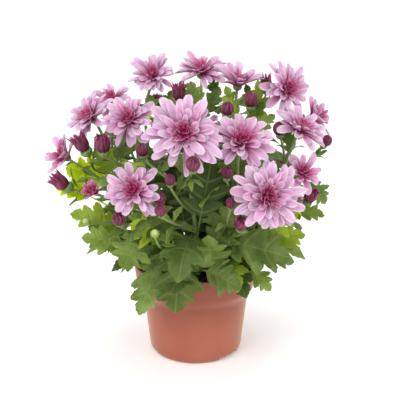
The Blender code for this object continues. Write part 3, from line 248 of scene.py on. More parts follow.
# Flower heads in millimetres. The first head of a shoot ends its main stalk; the others fork off
# at a share of its length. cup is how many degrees the petals stand steeper than the stage's own.
Head = namedtuple("Head", "shoot fork stage width centre facing cup")
HEADS = (
    Head("left", 1.0, "open", 49, (-98, -10, 232), (-0.50, -0.60, 0.62), 4),
    Head("left", 0.55, "half", 30, (-123, -20, 199), (-0.60, -0.50, 0.62), 0),
    Head("left", 0.50, "opening", 16, (-122, -36, 176), (-0.75, -0.20, 0.60), 0),
    Head("left", 0.66, "opening", 16, (-100, -42, 212), (-0.45, -0.20, 0.87), 0),
    Head("left", 0.76, "small", 43, (-81, 24, 244), (-0.10, -0.60, 0.80), 4),
    Head("left", 0.36, "green", 6, (-96, -60, 147), (-0.50, -0.30, 0.80), 0),
    Head("front_left", 1.0, "open", 46, (-57, -50, 234), (-0.10, -0.85, 0.50), 0),
    Head("front_left", 0.46, "open", 47, (-50, -100, 183), (-0.08, -0.93, 0.36), 0),
    Head("front_left", 0.70, "bud", 15, (-79, -56, 214), (-0.10, -0.30, 0.95), 0),
    Head("front_left", 0.42, "half", 19, (-87, -70, 176), (-0.30, -0.75, 0.55), 14),
    Head("front_left", 0.30, "bud", 11, (-62, -100, 160), (-0.10, -0.60, 0.78), 0),
    Head("front_left", 0.40, "bud", 9, (-29, -96, 176), (0.20, -0.40, 0.88), 0),
    Head("front_left", 0.24, "green", 6, (-32, -110, 152), (0.10, -0.50, 0.86), 0),
    Head("front", 1.0, "large", 64, (-9, -110, 231), (0.00, -0.90, 0.43), 0),
    Head("front", 0.70, "bud", 11, (-2, -126, 210), (0.00, -0.55, 0.83), 0),
    Head("front", 0.52, "bud", 8, (-20, -106, 193), (0.00, -0.40, 0.90), 0),
    Head("front", 0.44, "bud", 9, (-27, -122, 173), (-0.10, -0.50, 0.85), 0),
    Head("front", 0.66, "bud", 10, (-44, -72, 211), (-0.10, -0.20, 0.96), 0),
    Head("front_right", 1.0, "open", 54, (37, -85, 222), (0.10, -0.75, 0.65), 0),
    Head("front_right", 0.48, "large", 64, (57, -110, 180), (0.15, -0.95, 0.28), 0),
    Head("front_right", 0.62, "bud", 9, (25, -92, 196), (0.00, -0.30, 0.95), 0),
    Head("front_right", 0.46, "bud", 8, (28, -100, 173), (0.00, -0.40, 0.90), 0),
    Head("front_right", 0.34, "bud", 12, (37, -92, 154), (0.00, -0.50, 0.86), 0),
    Head("right", 1.0, "open", 48, (94, -30, 224), (0.35, -0.45, 0.82), 8),
    Head("right", 0.56, "small", 40, (94, -50, 188), (0.30, -0.75, 0.58), 0),
    Head("right", 0.72, "half", 29, (117, 10, 230), (0.85, -0.35, 0.40), 0),
    Head("right", 0.46, "bud", 13, (104, -34, 163), (0.30, -0.40, 0.86), 0),
    Head("right", 0.80, "bud", 11, (74, -26, 222), (-0.20, -0.10, 0.97), 0),
    Head("right", 0.60, "bud", 10, (125, 12, 205), (0.50, 0.00, 0.86), 0),
    Head("mid_left", 1.0, "open", 47, (-42, 40, 266), (-0.10, -0.75, 0.65), 6),
    Head("mid_left", 0.72, "opening", 16, (-16, 27, 250), (0.00, -0.15, 0.98), 0),
    Head("mid_left", 0.70, "bud", 12, (-38, 50, 240), (0.00, -0.10, 0.99), 0),
    Head("mid_left", 0.60, "bud", 11, (-7, -20, 240), (0.00, -0.20, 0.97), 0),
    Head("mid_right", 1.0, "small", 46, (41, 30, 261), (0.10, -0.30, 0.95), 24),
    Head("mid_right", 0.66, "open", 52, (86, 0, 255), (0.45, -0.85, 0.25), 0),
    Head("mid_right", 0.74, "opening", 14, (68, 38, 258), (-0.10, -0.20, 0.97), 0),
    Head("mid_right", 0.76, "bud", 13, (51, 0, 245), (0.00, -0.10, 0.99), 0),
    Head("mid_right", 0.64, "bud", 11, (28, -30, 240), (0.00, -0.10, 0.99), 0),
    Head("back", 1.0, "open", 58, (6, 60, 271), (0.00, -0.40, 0.92), 0),
    Head("back", 0.60, "small", 40, (-30, 101, 207), (-0.20, 0.62, 0.76), 0),
    Head("back", 0.62, "small", 44, (10, 112, 208), (0.10, 0.66, 0.74), 0),
    Head("back_left", 1.0, "small", 46, (-76, 64, 206), (-0.50, 0.45, 0.74), 0),
    Head("back_left", 0.58, "small", 40, (-99, 55, 171), (-0.80, 0.35, 0.48), 0),
    Head("back_left", 0.50, "open", 48, (-52, 112, 160), (-0.35, 0.85, 0.40), 0),
    Head("back_right", 1.0, "small", 46, (52, 88, 204), (0.35, 0.50, 0.79), 0),
    Head("back_right", 0.66, "small", 40, (92, 60, 176), (0.75, 0.35, 0.56), 0),
    Head("back_right", 0.44, "open", 48, (52, 112, 158), (0.25, 0.88, 0.40), 0),
    Head("back_right", 0.48, "small", 38, (106, 40, 140), (0.85, 0.20, 0.48), 0),
    Head("back_right", 0.54, "bud", 12, (82, 88, 178), (0.40, 0.50, 0.77), 0),
)

# Leaves that show at the front, in millimetres: the shoot, the share of its main stalk where the leaf
# roots, the blade's joint and tip, its width, its arch as a share of its length, and where it faces.
Leaf = namedtuple("Leaf", "shoot fork joint tip width arch face")
FRONT_LEAVES = (
    Leaf("left", 0.42, (-86, 0, 170), (-120, -12, 183), 36, 0.06, (0.0, -1.0, 0.2)),
    Leaf("left", 0.34, (-98, -24, 158), (-128, -30, 168), 22, 0.10, (0.0, -0.7, 0.7)),
    Leaf("left", 0.20, (-70, -45, 132), (-111, -52, 149), 30, 0.10, (0.0, -0.7, 0.7)),
    Leaf("left", 0.48, (-76, -18, 180), (-90, -14, 208), 28, 0.06, (0.0, -1.0, 0.2)),
    Leaf("front_left", 0.14, (-64, -56, 124), (-99, -60, 132), 26, 0.10, (0.0, -0.8, 0.6)),
    Leaf("front_left", 0.18, (-48, -66, 136), (-62, -78, 108), 36, 0.12, (0.0, -0.9, 0.4)),
    Leaf("front_left", 0.12, (-31, -60, 117), (-50, -70, 62), 30, 0.12, (0.0, -0.9, 0.3)),
    Leaf("front_left", 0.44, (-52, -48, 162), (-64, -44, 198), 30, 0.06, (0.0, -1.0, 0.0)),
    Leaf("front_left", 0.26, (-34, -50, 130), (-42, -56, 174), 38, 0.06, (0.0, -1.0, 0.0)),
    Leaf("front_left", 0.16, (-30, -60, 134), (-60, -66, 146), 32, 0.08, (0.0, -0.9, 0.4)),
    Leaf("front", 0.08, (-12, -64, 121), (-18, -74, 66), 42, 0.14, (0.0, -0.9, 0.3)),
    Leaf("front", 0.30, (0, -76, 156), (9, -70, 204), 38, 0.06, (0.0, -1.0, 0.0)),
    Leaf("front", 0.24, (-14, -56, 138), (-20, -58, 188), 38, 0.06, (0.0, -1.0, 0.0)),
    Leaf("front", 0.10, (2, -50, 104), (-2, -66, 142), 42, 0.08, (0.0, -1.0, 0.2)),
    Leaf("front", 0.12, (9, -68, 106), (39, -74, 92), 28, 0.10, (0.0, -0.8, 0.6)),
    Leaf("front_right", 0.10, (14, -70, 126), (76, -74, 112), 42, 0.10, (0.0, -0.8, 0.6)),
    Leaf("front_right", 0.28, (30, -56, 124), (48, -56, 166), 38, 0.06, (0.0, -1.0, 0.0)),
    Leaf("front_right", 0.30, (16, -54, 138), (22, -50, 186), 36, 0.06, (0.0, -1.0, 0.0)),
    Leaf("front_right", 0.44, (32, -54, 174), (35, -50, 208), 30, 0.06, (0.0, -1.0, 0.0)),
    Leaf("right", 0.14, (58, -36, 116), (101, -30, 124), 28, 0.12, (0.0, -0.7, 0.7)),
    Leaf("right", 0.08, (52, -46, 108), (93, -44, 104), 28, 0.12, (0.0, -0.7, 0.7)),
    Leaf("right", 0.06, (50, -50, 98), (67, -62, 82), 20, 0.14, (0.0, -0.9, 0.4)),
    Leaf("right", 0.22, (56, -40, 132), (92, -40, 147), 32, 0.10, (0.0, -0.8, 0.6)),
    Leaf("right", 0.36, (88, -14, 141), (120, -20, 139), 24, 0.10, (0.0, -0.6, 0.8)),
    Leaf("right", 0.50, (108, 2, 166), (124, -2, 146), 22, 0.12, (0.2, -0.9, 0.3)),
    Leaf("mid_right", 0.56, (58, 12, 218), (54, 12, 262), 18, 0.04, (-0.5, -0.8, 0.0)),
    Leaf("mid_right", 0.52, (56, 4, 214), (78, 8, 230), 18, 0.06, (0.0, -0.8, 0.6)),
    Leaf("mid_right", 0.62, (40, 22, 226), (26, 22, 244), 18, 0.05, (0.0, -1.0, 0.2)),
    Leaf("mid_right", 0.30, (22, -20, 150), (30, -24, 204), 36, 0.06, (0.0, -1.0, 0.0)),
    Leaf("mid_left", 0.62, (0, 32, 226), (-5, 38, 258), 26, 0.05, (0.0, -1.0, 0.0)),
    Leaf("mid_left", 0.30, (-14, -18, 150), (-20, -24, 204), 36, 0.06, (0.0, -1.0, 0.0)),
)

# How far a front leaf may move sideways and in depth to stand clear, in millimetres, the nearest first.
FRONT_SHIFTS = sorted(
    ((side, depth) for side in range(-12, 13, 4) for depth in range(-16, 17, 4)),
    key=lambda shift: shift[0] ** 2 + shift[1] ** 2,
)
FRONT_SIZES = (1.0, 0.9, 0.8)

# The other leaves: how many grow along each shoot's main stalk, and how they change from low to high.
FILL_LEAVES = {
    "left": 4, "front_left": 3, "front": 3, "front_right": 3, "right": 4,
    "mid_left": 4, "mid_right": 4, "back": 5, "back_left": 5, "back_right": 5,
}
FILL_FROM, FILL_TO = 0.05, 0.72
FILL_LENGTH_LOW, FILL_LENGTH_HIGH = 0.058, 0.042
FILL_RISE_LOW, FILL_RISE_HIGH = 14, 50
FILL_DROOP = 46
FILL_PETIOLE = 0.017
FILL_ARCH = 0.15
FILL_FACE_OUT = 0.4
FILL_ROLL = 20
FILL_FAN = 40
FILL_TURNS = (0, 28, -28, 56, -56, 90, -90, 130, -130, 175)
FILL_LIFTS = (0, 18, -18)
FILL_SIZES = (1.0, 0.85, 0.70)
FILL_LOWEST = 0.084
FILL_REACH = 0.116
# A side stalk bears one leaf for each such length, between these shares of it, turned to either side.
SIDE_LEAF_SPACING = 0.065
SIDE_LEAF_FROM, SIDE_LEAF_TO = 0.2, 0.8
SIDE_LEAF_TURN = 60
SIDE_LEAF_HEIGHT = 0.6

# The dressed plant's own sizes, the blades and stems of its leaves first.
LEAF_RING, INNER_RING = 16, 12
TOOTH_ROUND = 0.045
LEAF_SWEEP = 0.24
BLADE_THICKNESS = 0.0008
FULL_LEAF_WIDTH = 0.036
LEAF_RIPPLE, LEAF_CREASE, LEAF_GROOVE, LEAF_CURL = 0.0008, 0.0003, 0.0009, 0.0038
PETIOLE_ROWS = 6
STALK_RING = 10
STALK_RIBS = 0.05
STALK_SMOOTHING = 4

# Cups and their scales, which stand a little off the cup. A cup's profile is its radius and height, as
# shares of the cup's own.
CUP_RING = 16
CUP_PROFILE = (
    (0.22, -0.25), (0.40, 0.0), (0.74, 0.18), (0.96, 0.5), (1.04, 0.82), (1.0, 1.0), (0.86, 1.04),
)
GREEN_BUD_PROFILE = ((0.35, 0.0), (0.85, 0.35), (1.05, 0.95), (0.95, 1.5), (0.6, 2.0), (0.2, 2.25))
SCALES = 8
SCALE_RING, SCALE_ROWS = 6, 6
SCALE_THICK = 0.00028
SCALE_TROUGH = 0.16
SCALE_OFF = 0.0002
# How large a scale is beside its cup and how far its tip leans out, under flowers, buds and green buds.
SCALE_FORMS = {"flower": (0.88, 1.12), "bud": (0.75, 1.22), "green": (1.04, 1.02)}
# How dark the stalk's green is on cups and on scales; below 0 it is the yellow green of a young bud.
CUP_TONE, SCALE_TONE = 0.7, 0.4
GREEN_CUP_TONE, GREEN_SCALE_TONE = -0.9, -0.15

# Petals of flowers: their grid and thickness, and the dome that they grow from.
PETAL_ROWS, PETAL_RING = 9, 8
PETAL_THICK = 0.0007
# The half width that a petal keeps at its tip.
PETAL_TIP, BUD_PETAL_TIP = 0.00008, 0.00006
FLOWER_SEED, BUD_SEED = 100, 300
DOME_RING = 12
DOME_LEVELS = (0, 20, 45, 68, 84)
DOME_HEIGHT = 0.8
HALF_OPEN_CORE = 1.3
# A half-open flower narrower than this in millimetres is steeper, shorter and more burgundy, by these for
# each 10 mm.
BLUSH_BELOW = 28
BLUSH_RISE, BLUSH_SHORTER, BLUSH_TONE = 22, 0.22, 0.8
# The level of the highest ledge on the dome in degrees, and the share of a petal's length where it is widest.
LEDGE_TOP = 70
PETAL_WIDEST_AT = 0.70
# How much petals differ, from least to most: their place round the head, rise, bend, width, trough, roll
# at the root and towards the tip, sway and tone. Angles are in degrees.
PETAL_PLACE = (-0.40, 0.40)
PETAL_RISE = (-16, 14)
PETAL_BEND = (-12, 12)
PETAL_WIDTH = (0.80, 1.12)
PETAL_TROUGH = (0.4, 1.3)
PETAL_ROLL, PETAL_TWIST = (-20, 20), (-28, 28)
PETAL_SWAY = (-0.10, 0.10)
PETAL_TONE = (-0.08, 0.08)

# Rings of petals from the outside in: how many, their rise in degrees, reach and width as shares of
# the outermost ring's, how far they bend back towards the tip in degrees, and how burgundy they are.
Ring = namedtuple("Ring", "count rise reach width bend tone")
PETAL_RINGS = {
    "large": (
        Ring(15, 0, 1.00, 0.98, 26, 0.00), Ring(15, 13, 0.92, 0.92, 22, 0.02),
        Ring(14, 27, 0.76, 0.88, 14, 0.06), Ring(13, 42, 0.58, 0.66, 4, 0.20),
        Ring(13, 56, 0.43, 0.46, -8, 0.66), Ring(11, 68, 0.33, 0.38, -18, 1.00),
        Ring(7, 80, 0.24, 0.28, -20, 1.00),
    ),
    "open": (
        Ring(13, 4, 1.00, 1.00, 22, 0.00), Ring(12, 18, 0.90, 0.95, 18, 0.02),
        Ring(11, 34, 0.70, 0.80, 8, 0.18), Ring(12, 52, 0.48, 0.49, -8, 0.72),
        Ring(11, 66, 0.38, 0.40, -18, 1.00), Ring(6, 79, 0.26, 0.30, -20, 1.00),
    ),
    "small": (
        Ring(8, 10, 1.00, 1.00, 18, 0.02), Ring(7, 28, 0.82, 0.84, 8, 0.12),
        Ring(10, 54, 0.50, 0.46, -8, 0.76), Ring(9, 67, 0.41, 0.36, -20, 1.00),
        Ring(5, 80, 0.30, 0.28, -20, 1.00),
    ),
    "half": (
        Ring(7, 34, 1.22, 1.00, 12, 0.04), Ring(6, 48, 0.96, 0.84, 0, 0.34),
        Ring(9, 62, 0.74, 0.54, -16, 0.86), Ring(8, 74, 0.62, 0.44, -20, 1.00),
        Ring(5, 84, 0.50, 0.36, -20, 1.00),
    ),
}
# The outermost petals' half width, which is at most this share of their length, and the lengths of the
# shortest and the longest petals as shares of their ring's.
PETAL_HALF = {"large": 0.0041, "open": 0.0037, "small": 0.0041, "half": 0.0036}
PETAL_BROADEST = 0.20
SHORTEST_PETAL = {"large": 0.68, "open": 0.78, "small": 0.74, "half": 0.68}
LONGEST_PETAL = 1.11

# Buds: those this wide in millimetres part at the top. Each form has how far it parts, its round part's
# share of the width, the height of the core inside in half widths, and its tiers of petals: how many,
# how far in, how high, how far round, how wide and how much they flare.
PARTING_WIDTH = 12
BUD_FORMS = {"opening": (1.0, 0.70, 1.45), "parting": (0.6, 0.82, 1.55), "bud": (0.0, 0.87, 2.02)}
BUD_TIERS = {
    "opening": (
        (7, 0.02, 1.55, 0.0, 1.20, 0.00), (7, 0.0, 2.20, 0.5, 0.95, 0.42), (7, -0.12, 2.12, 0.1, 0.78, 0.34),
        (6, -0.30, 2.00, 0.6, 0.66, 0.16), (4, -0.48, 1.85, 0.3, 0.50, 0.00),
    ),
    "parting": (
        (8, 0.02, 1.60, 0.0, 1.15, 0.00), (8, 0.0, 2.05, 0.5, 0.90, 0.20), (7, -0.12, 2.05, 0.2, 0.74, 0.14),
        (6, -0.30, 1.95, 0.6, 0.60, 0.05), (4, -0.45, 1.80, 0.3, 0.50, 0.00),
    ),
    "bud": (
        (8, 0.02, 1.72, 0.0, 1.20, 0.0), (7, 0.01, 2.02, 0.5, 1.05, 0.0), (6, -0.05, 2.20, 0.2, 0.80, 0.0),
    ),
}
# The egg that a bud follows, in half widths: its middle's height, its half height, and the height past
# which petals no longer close in. The core inside has this grid and this share of the egg's width.
EGG_MIDDLE, EGG_HALF_HEIGHT, EGG_TOP = 1.0, 1.12, 2.08
BUD_CORE_RING, BUD_CORE_ROWS = 14, 9
BUD_CORE = 0.9
# A bud's petals: the height of their foot and where they part, in half widths, their roll in degrees, their
# trough, and their half thickness at the tip and how much more it is where they are widest.
BUD_PETAL_FOOT, PARTING_FROM = 0.06, 0.9
BUD_PETAL_ROLL = 17
BUD_PETAL_TROUGH = 0.26
BUD_PETAL_THIN, BUD_PETAL_THICKER = 0.00024, 0.0005
# How much they differ, from least to most: their place round the bud, top, flare, roll, sway and tone.
BUD_PLACE, BUD_TOP, BUD_FLARE = (-0.16, 0.16), (0.84, 1.04), (0.2, 1.5)
BUD_ROLL, BUD_SWAY, BUD_TONE = (-9, 9), (-0.12, 0.12), (0.0, 0.85)
# How much of the underside's colour a bud's petals show on their outer sides.
BUD_UNDER = 0.8
# The shares of a bud's petal at which its width is given, and how wide it is there.
BUD_PETAL_AT = (0.0, 0.2, 0.5, 0.75, 0.92, 1.0)
BUD_PETAL_HALF = (0.8, 1.0, 0.9, 0.58, 0.34, 0.0)

# Screen colours of petals: pale at the tip and the edges, pink, deep at the root, burgundy, and below.
PETAL_COLOURS = ((231, 208, 228), (207, 144, 187), (194, 66, 132), (194, 40, 106), (156, 60, 110))
BUD_COLOURS = ((182, 82, 130), (130, 26, 74), (70, 8, 32), (68, 6, 30), (104, 16, 54))

# A leaf to be made: its shoot, its root, its blade, whether it is a fine one that shows, and its shadow,
# 0 or darker, which is added to the tone that its place gives it.
Sprout = namedtuple("Sprout", "shoot root blade fine shadow")

# Leaves that are young and lime with painted light coming through them, or old and dark with painted
# shade, by their order.
LEAF_AGE_AND_LIGHT = {
    0: 1.0, 1: 0.8, 2: 0.3, 3: 0.3, 4: 0.15, 5: 0.1, 8: 0.2, 9: 0.4, 11: -0.9, 12: -1.0, 13: 0.05,
    14: -0.4, 15: -0.35, 16: -0.1, 17: -0.8, 19: 0.35, 20: 0.1, 21: 0.15, 22: 0.4, 23: 0.2, 24: -0.1,
    25: 0.2, 27: 0.3, 29: 0.1, 30: -0.6, 34: 0.15, 35: 0.2, 36: -0.95, 37: -0.05, 38: -0.1, 39: 0.35,
    46: -0.4, 48: -0.6, 49: 0.4, 57: -0.1, 58: -0.2, 82: -0.2, 83: -0.3, 84: 0.25, 85: -0.1, 86: 0.1,
    87: -0.5, 88: -0.35, 89: 0.1,
}
# The others get painted shade, darker the deeper they grow inside the bush, taken as an egg with this
# radius, this height of its middle and this half height. Inner leaves and slips have a painted shadow of
# their own besides.
BUSH_RADIUS, BUSH_MIDDLE, BUSH_HEIGHT = 0.115, 0.10, 0.13
INNER_SHADOW, SLIP_SHADOW = -0.15, -0.4

# Small leaves high up between the flowers, listed as the leaves above are.
HIGH_LEAVES = (
    Leaf("back", 0.80, (11, 50, 226), (24, 50, 252), 17, 0.06, (0.0, -1.0, 0.1)),
    Leaf("back", 0.72, (0, 44, 218), (14, 46, 236), 15, 0.08, (0.0, -0.9, 0.4)),
    Leaf("mid_right", 0.66, (37, 34, 230), (29, 36, 254), 14, 0.06, (0.0, -1.0, 0.1)),
    Leaf("mid_left", 0.70, (-30, 36, 228), (-22, 38, 250), 15, 0.06, (0.0, -1.0, 0.1)),
    Leaf("right", 0.78, (86, -16, 198), (83, -17, 222), 14, 0.06, (0.0, -1.0, 0.1)),
    Leaf("back", 0.88, (22, 52, 240), (14, 54, 262), 13, 0.06, (0.0, -1.0, 0.1)),
    Leaf("mid_right", 0.80, (56, 26, 232), (48, 32, 256), 13, 0.06, (0.0, -1.0, 0.1)),
    Leaf("mid_left", 0.78, (-40, 38, 226), (-46, 36, 246), 17, 0.08, (0.0, -1.0, 0.1)),
)

# Leaves that fill the plant inside: their seed, how many try to grow from each main stalk and where,
# the room they leave round heads and the pot, and how far out and up they may reach.
INNER_SEED = 41
INNER_LEAVES = 15
INNER_FROM, INNER_TO = 0.04, 0.88
INNER_ROOM, INNER_ROOM_AT_POT = 0.003, 0.001
INNER_REACH, INNER_TOP = 0.098, 0.245
# From least to most: their length, stem, width as a share of the length, and in degrees their rise, the
# droop of the blade below that, and the roll. A blade is this much shorter at the top of the stalk.
INNER_LENGTH, INNER_STEM, INNER_WIDTH = (0.030, 0.044), (0.010, 0.020), (0.66, 0.8)
INNER_RISE, INNER_DROOP, INNER_ROLL = (5, 50), (20, 60), (-35, 35)
INNER_SHORTER = 0.35

# Slips: how many there are on a side stalk and where, their length, stem, width as a share of the
# length, arch, and how far they lean along the stalk.
SLIPS = 3
SLIP_FROM, SLIP_TO = 0.35, 0.85
SLIP_LENGTH = (0.012, 0.024)
SLIP_STEM = 0.003
SLIP_WIDTH = 0.32
SLIP_ARCH = 0.10
SLIP_LEAN = 0.7

# The stage: a flat middle, then a level floor out to the radius, a quarter circle up and a wall.
STAGE_RING = 64
STAGE_MIDDLE, STAGE_RADIUS, STAGE_BEND, STAGE_WALL = 0.5, 2.4, 0.9, 2.2
WORLD_STRENGTH = 0.69
# Lamps: where each hangs, its size and its power, all turned to this height on the pot's axis.
LAMP_AIM = 0.16
LAMPS = (
    ("key", (-1.1, -1.5, 1.7), 1.2, 22),
    ("fill", (1.6, -1.2, 1.0), 1.6, 6),
    ("top", (0.2, 0.4, 2.2), 1.6, 12),
)
# The camera: the focal length in pixels of a picture this wide, its distance, height and pitch in
# degrees, and how far the picture is shifted sideways.
PICTURE = 400
FOCAL_PIXELS = 649.4
SENSOR = 36
CAMERA_AWAY, CAMERA_HEIGHT, CAMERA_PITCH = 0.600, 0.303, 14.38
CAMERA_SHIFT = 0.011


def unit(vector):
    """A vector, or each row of an array, scaled to length one."""
    vector = np.asarray(vector, float)
    return vector / np.linalg.norm(vector, axis=-1, keepdims=True)


def metres(point):
    """A point or length given in millimetres, as metres."""
    return np.asarray(point, float) * MM


def turned(vector, axis, degrees):
    """A vector turned about an axis."""
    angle = math.radians(degrees)
    axis = unit(axis)
    across = np.cross(axis, vector)
    along = axis * np.dot(axis, vector)
    return vector * math.cos(angle) + across * math.sin(angle) + along * (1 - math.cos(angle))


def slanted(outward, angle):
    """A level direction raised by an angle in radians."""
    return outward * math.cos(angle) + np.array((0.0, 0.0, 1.0)) * math.sin(angle)


def bezier(start, first, second, end, steps):
    """Points along a cubic curve: four corner points blended by the third powers of the share."""
    share = np.linspace(0, 1, steps + 1)[:, None]
    rest = 1 - share
    return rest**3 * start + 3 * rest**2 * share * first + 3 * rest * share**2 * second + share**3 * end


def path_point(path, share):
    """The point and the direction at a share of a path's length."""
    lengths = np.linalg.norm(np.diff(path, axis=0), axis=1)
    run = np.concatenate(([0], np.cumsum(lengths)))
    distance = share * run[-1]
    leg = min(int(np.searchsorted(run, distance, side="right")) - 1, len(lengths) - 1)
    way = (distance - run[leg]) / lengths[leg]
    return path[leg] + (path[leg + 1] - path[leg]) * way, unit(path[leg + 1] - path[leg])


def beads(path, spacing):
    """Points evenly spaced along a path, no further apart than the spacing."""
    total = np.linalg.norm(np.diff(path, axis=0), axis=1).sum()
    count = max(2, math.ceil(total / spacing) + 1)
    return np.array([path_point(path, share)[0] for share in np.linspace(0, 1, count)])


def head_frame(facing, turn):
    """Three directions of a head: two across its disc, turned about its axis, and the axis."""
    axis = unit(facing)
    across = np.cross(axis, (0.31, 0.0, 0.95) if abs(axis[2]) < 0.9 else (1.0, 0.0, 0.0))
    across = turned(unit(across), axis, turn)
    return across, np.cross(axis, across), axis


def core_radius(head):
    """Radius of a head's core, where its petals root."""
    return (CORE_LEAST + CORE_PER_WIDTH * head.width) * MM


def seat(head):
    """The point on a head's axis where it sits on its green cup."""
    depth = STAGES[head.stage].depth * head.width
    return metres(head.centre) - unit(head.facing) * depth * MM


def cup_radius(head):
    """Radius of the flat top of the green cup under a head."""
    if not STAGES[head.stage].layers:
        return BUD_CUP * head.width * MM
    return core_radius(head)


def cup_height(head):
    """Height of the green cup under a head."""
    return CUP_STEEPNESS * cup_radius(head) + CUP_BRIM


def reach(head):
    """How far a head's outer petals reach from its core, so that they span its width."""
    rise = math.radians(STAGES[head.stage].layers[0][0] + head.cup)
    return (head.width * MM / 2 - 0.8 * core_radius(head)) / math.cos(min(rise, math.radians(50)))


def head_samples(head):
    """Points over a head, which stalks and leaves keep clear of."""
    across, up, axis = head_frame(head.facing, 0)
    stage = STAGES[head.stage]
    middle = metres(head.centre)
    if not stage.layers:
        return middle[None, :], np.array([head.width * MM * 0.55])
    angle = np.radians(np.arange(0, 360, 24))
    ring = np.outer(np.cos(angle), across) + np.outer(np.sin(angle), up)
    base = seat(head) + axis * 0.003
    points = [base[None, :]]
    for rise, share in (stage.layers[0], stage.layers[-1]):
        tilt = math.radians(min(rise + head.cup, 80))
        for part in (0.3, 0.55, 0.8, 1.0):
            span = core_radius(head) + reach(head) * share * part * math.cos(tilt)
            points.append(base + ring * span + axis * reach(head) * share * part * math.sin(tilt))
    points = np.concatenate(points)
    return points, np.full(len(points), PETAL_ROOM)


class Clearance:
    """Spheres round everything placed so far, each with its owner's name."""

    def __init__(self):
        self.points = np.zeros((0, 3))
        self.radii = np.zeros(0)
        self.owners = np.zeros(0, int)
        self.names = {}

    def add(self, owner, points, radii):
        """Keep the spheres of a placed piece."""
        number = self.names.setdefault(owner, len(self.names))
        self.points = np.concatenate((self.points, points))
        self.radii = np.concatenate((self.radii, np.broadcast_to(radii, len(points))))
        self.owners = np.concatenate((self.owners, np.full(len(points), number)))

    def room(self, points, ignored=()):
        """The smallest distance from the points to any sphere of the other owners."""
        low, high = points.min(axis=0) - FAR, points.max(axis=0) + FAR
        keep = ((self.points > low) & (self.points < high)).all(axis=1)
        for name in ignored:
            keep &= self.owners != self.names.get(name, -1)
        if not keep.any():
            return FAR
        gaps = np.linalg.norm(points[:, None, :] - self.points[keep][None, :, :], axis=2)
        return float((gaps - self.radii[keep][None, :]).min())


def pot_room(points):
    """The smallest distance from the points to the pot's wall and to the soil."""
    radius = np.hypot(points[:, 0], points[:, 1])
    height = points[:, 2]
    over_rim = height - POT_HEIGHT
    wall = np.abs(radius - (RIM_RADIUS - 0.002)) - 0.004
    rim = np.where(over_rim > 0, np.hypot(over_rim, np.maximum(wall, 0)), wall)
    inside = radius < RIM_RADIUS - 0.002
    soil = np.where(inside, height - SOIL_EDGE - SOIL_DOME, 1.0)
    return float(np.minimum(rim, soil).min())


def stalk_route(start, heading, head, steps, bow):
    """A stalk's curve: it leaves along the heading and arrives at the head's cup from below it."""
    axis = unit(head.facing)
    end = seat(head) - axis * (GAP + cup_height(head))
    span = np.linalg.norm(end - start)
    first = start + heading * span * START_PULL
    pull = min(span * END_PULL, END_PULL_MOST)
    second = end - unit(axis * END_ALONG + np.array((0, 0, END_LIFT))) * pull
    sideways = unit(np.cross(end - start, (0.0, 0.0, 1.0)))
    push = (sideways * bow[0] + unit(np.cross(sideways, end - start)) * bow[1]) * MM
    return bezier(start, first + push * 0.5, second + push, end, steps)


def best_route(routes, clearance, ignored, needed):
    """The first route with the room that it needs, or else the one with the most."""
    best, most = None, -1.0
    for route in routes:
        room = clearance.room(beads(route, BEAD_SPACING)[2:-2], ignored)
        if room >= needed:
            return route
        if room > most:
            best, most = route, room
    return best


def lay_out_mains(clearance):
    """The main stalk of every shoot, clear of the heads and of the other main stalks."""
    mains = {}
    for number, head in enumerate(HEADS):
        clearance.add(f"head_{number}", *head_samples(head))
    for number, head in enumerate(HEADS):
        if head.fork != 1.0:
            continue
        stand = metres((*SHOOTS[head.shoot], 0))
        foot = stand + np.array((0, 0, SOIL_EDGE + SOIL_DOME))
        heading = unit(stand * SHOOT_SPREAD + np.array((0, 0, SHOOT_UPRIGHT)))
        routes = [stalk_route(foot, heading, head, SHOOT_STEPS, bow) for bow in BOWS]
        mains[head.shoot] = best_route(routes, clearance, (f"head_{number}",), SHOOT_RADIUS + ROOM_AT_STALK)
        clearance.add(head.shoot, beads(mains[head.shoot], BEAD_SPACING), SHOOT_RADIUS)
    return mains


def lay_out_sides(mains, clearance):
    """The side stalks that fork off the main ones, clear of the heads, front leaves and other shoots."""
    sides = {}
    for number, head in enumerate(HEADS):
        if head.fork == 1.0:
            continue
        start, along = path_point(mains[head.shoot], head.fork)
        heading = unit(along + unit(seat(head) - start) * SIDE_SPREAD)
        steps = max(2, round(np.linalg.norm(seat(head) - start) / SIDE_STALK_STEP))
        routes = [stalk_route(start, heading, head, steps, bow) for bow in BOWS]
        needed = SIDE_STALK_RADIUS + ROOM_AT_STALK
        sides[number] = best_route(routes, clearance, (head.shoot, f"head_{number}"), needed)
        clearance.add(head.shoot, beads(sides[number], BEAD_SPACING), SIDE_STALK_RADIUS)
    return sides


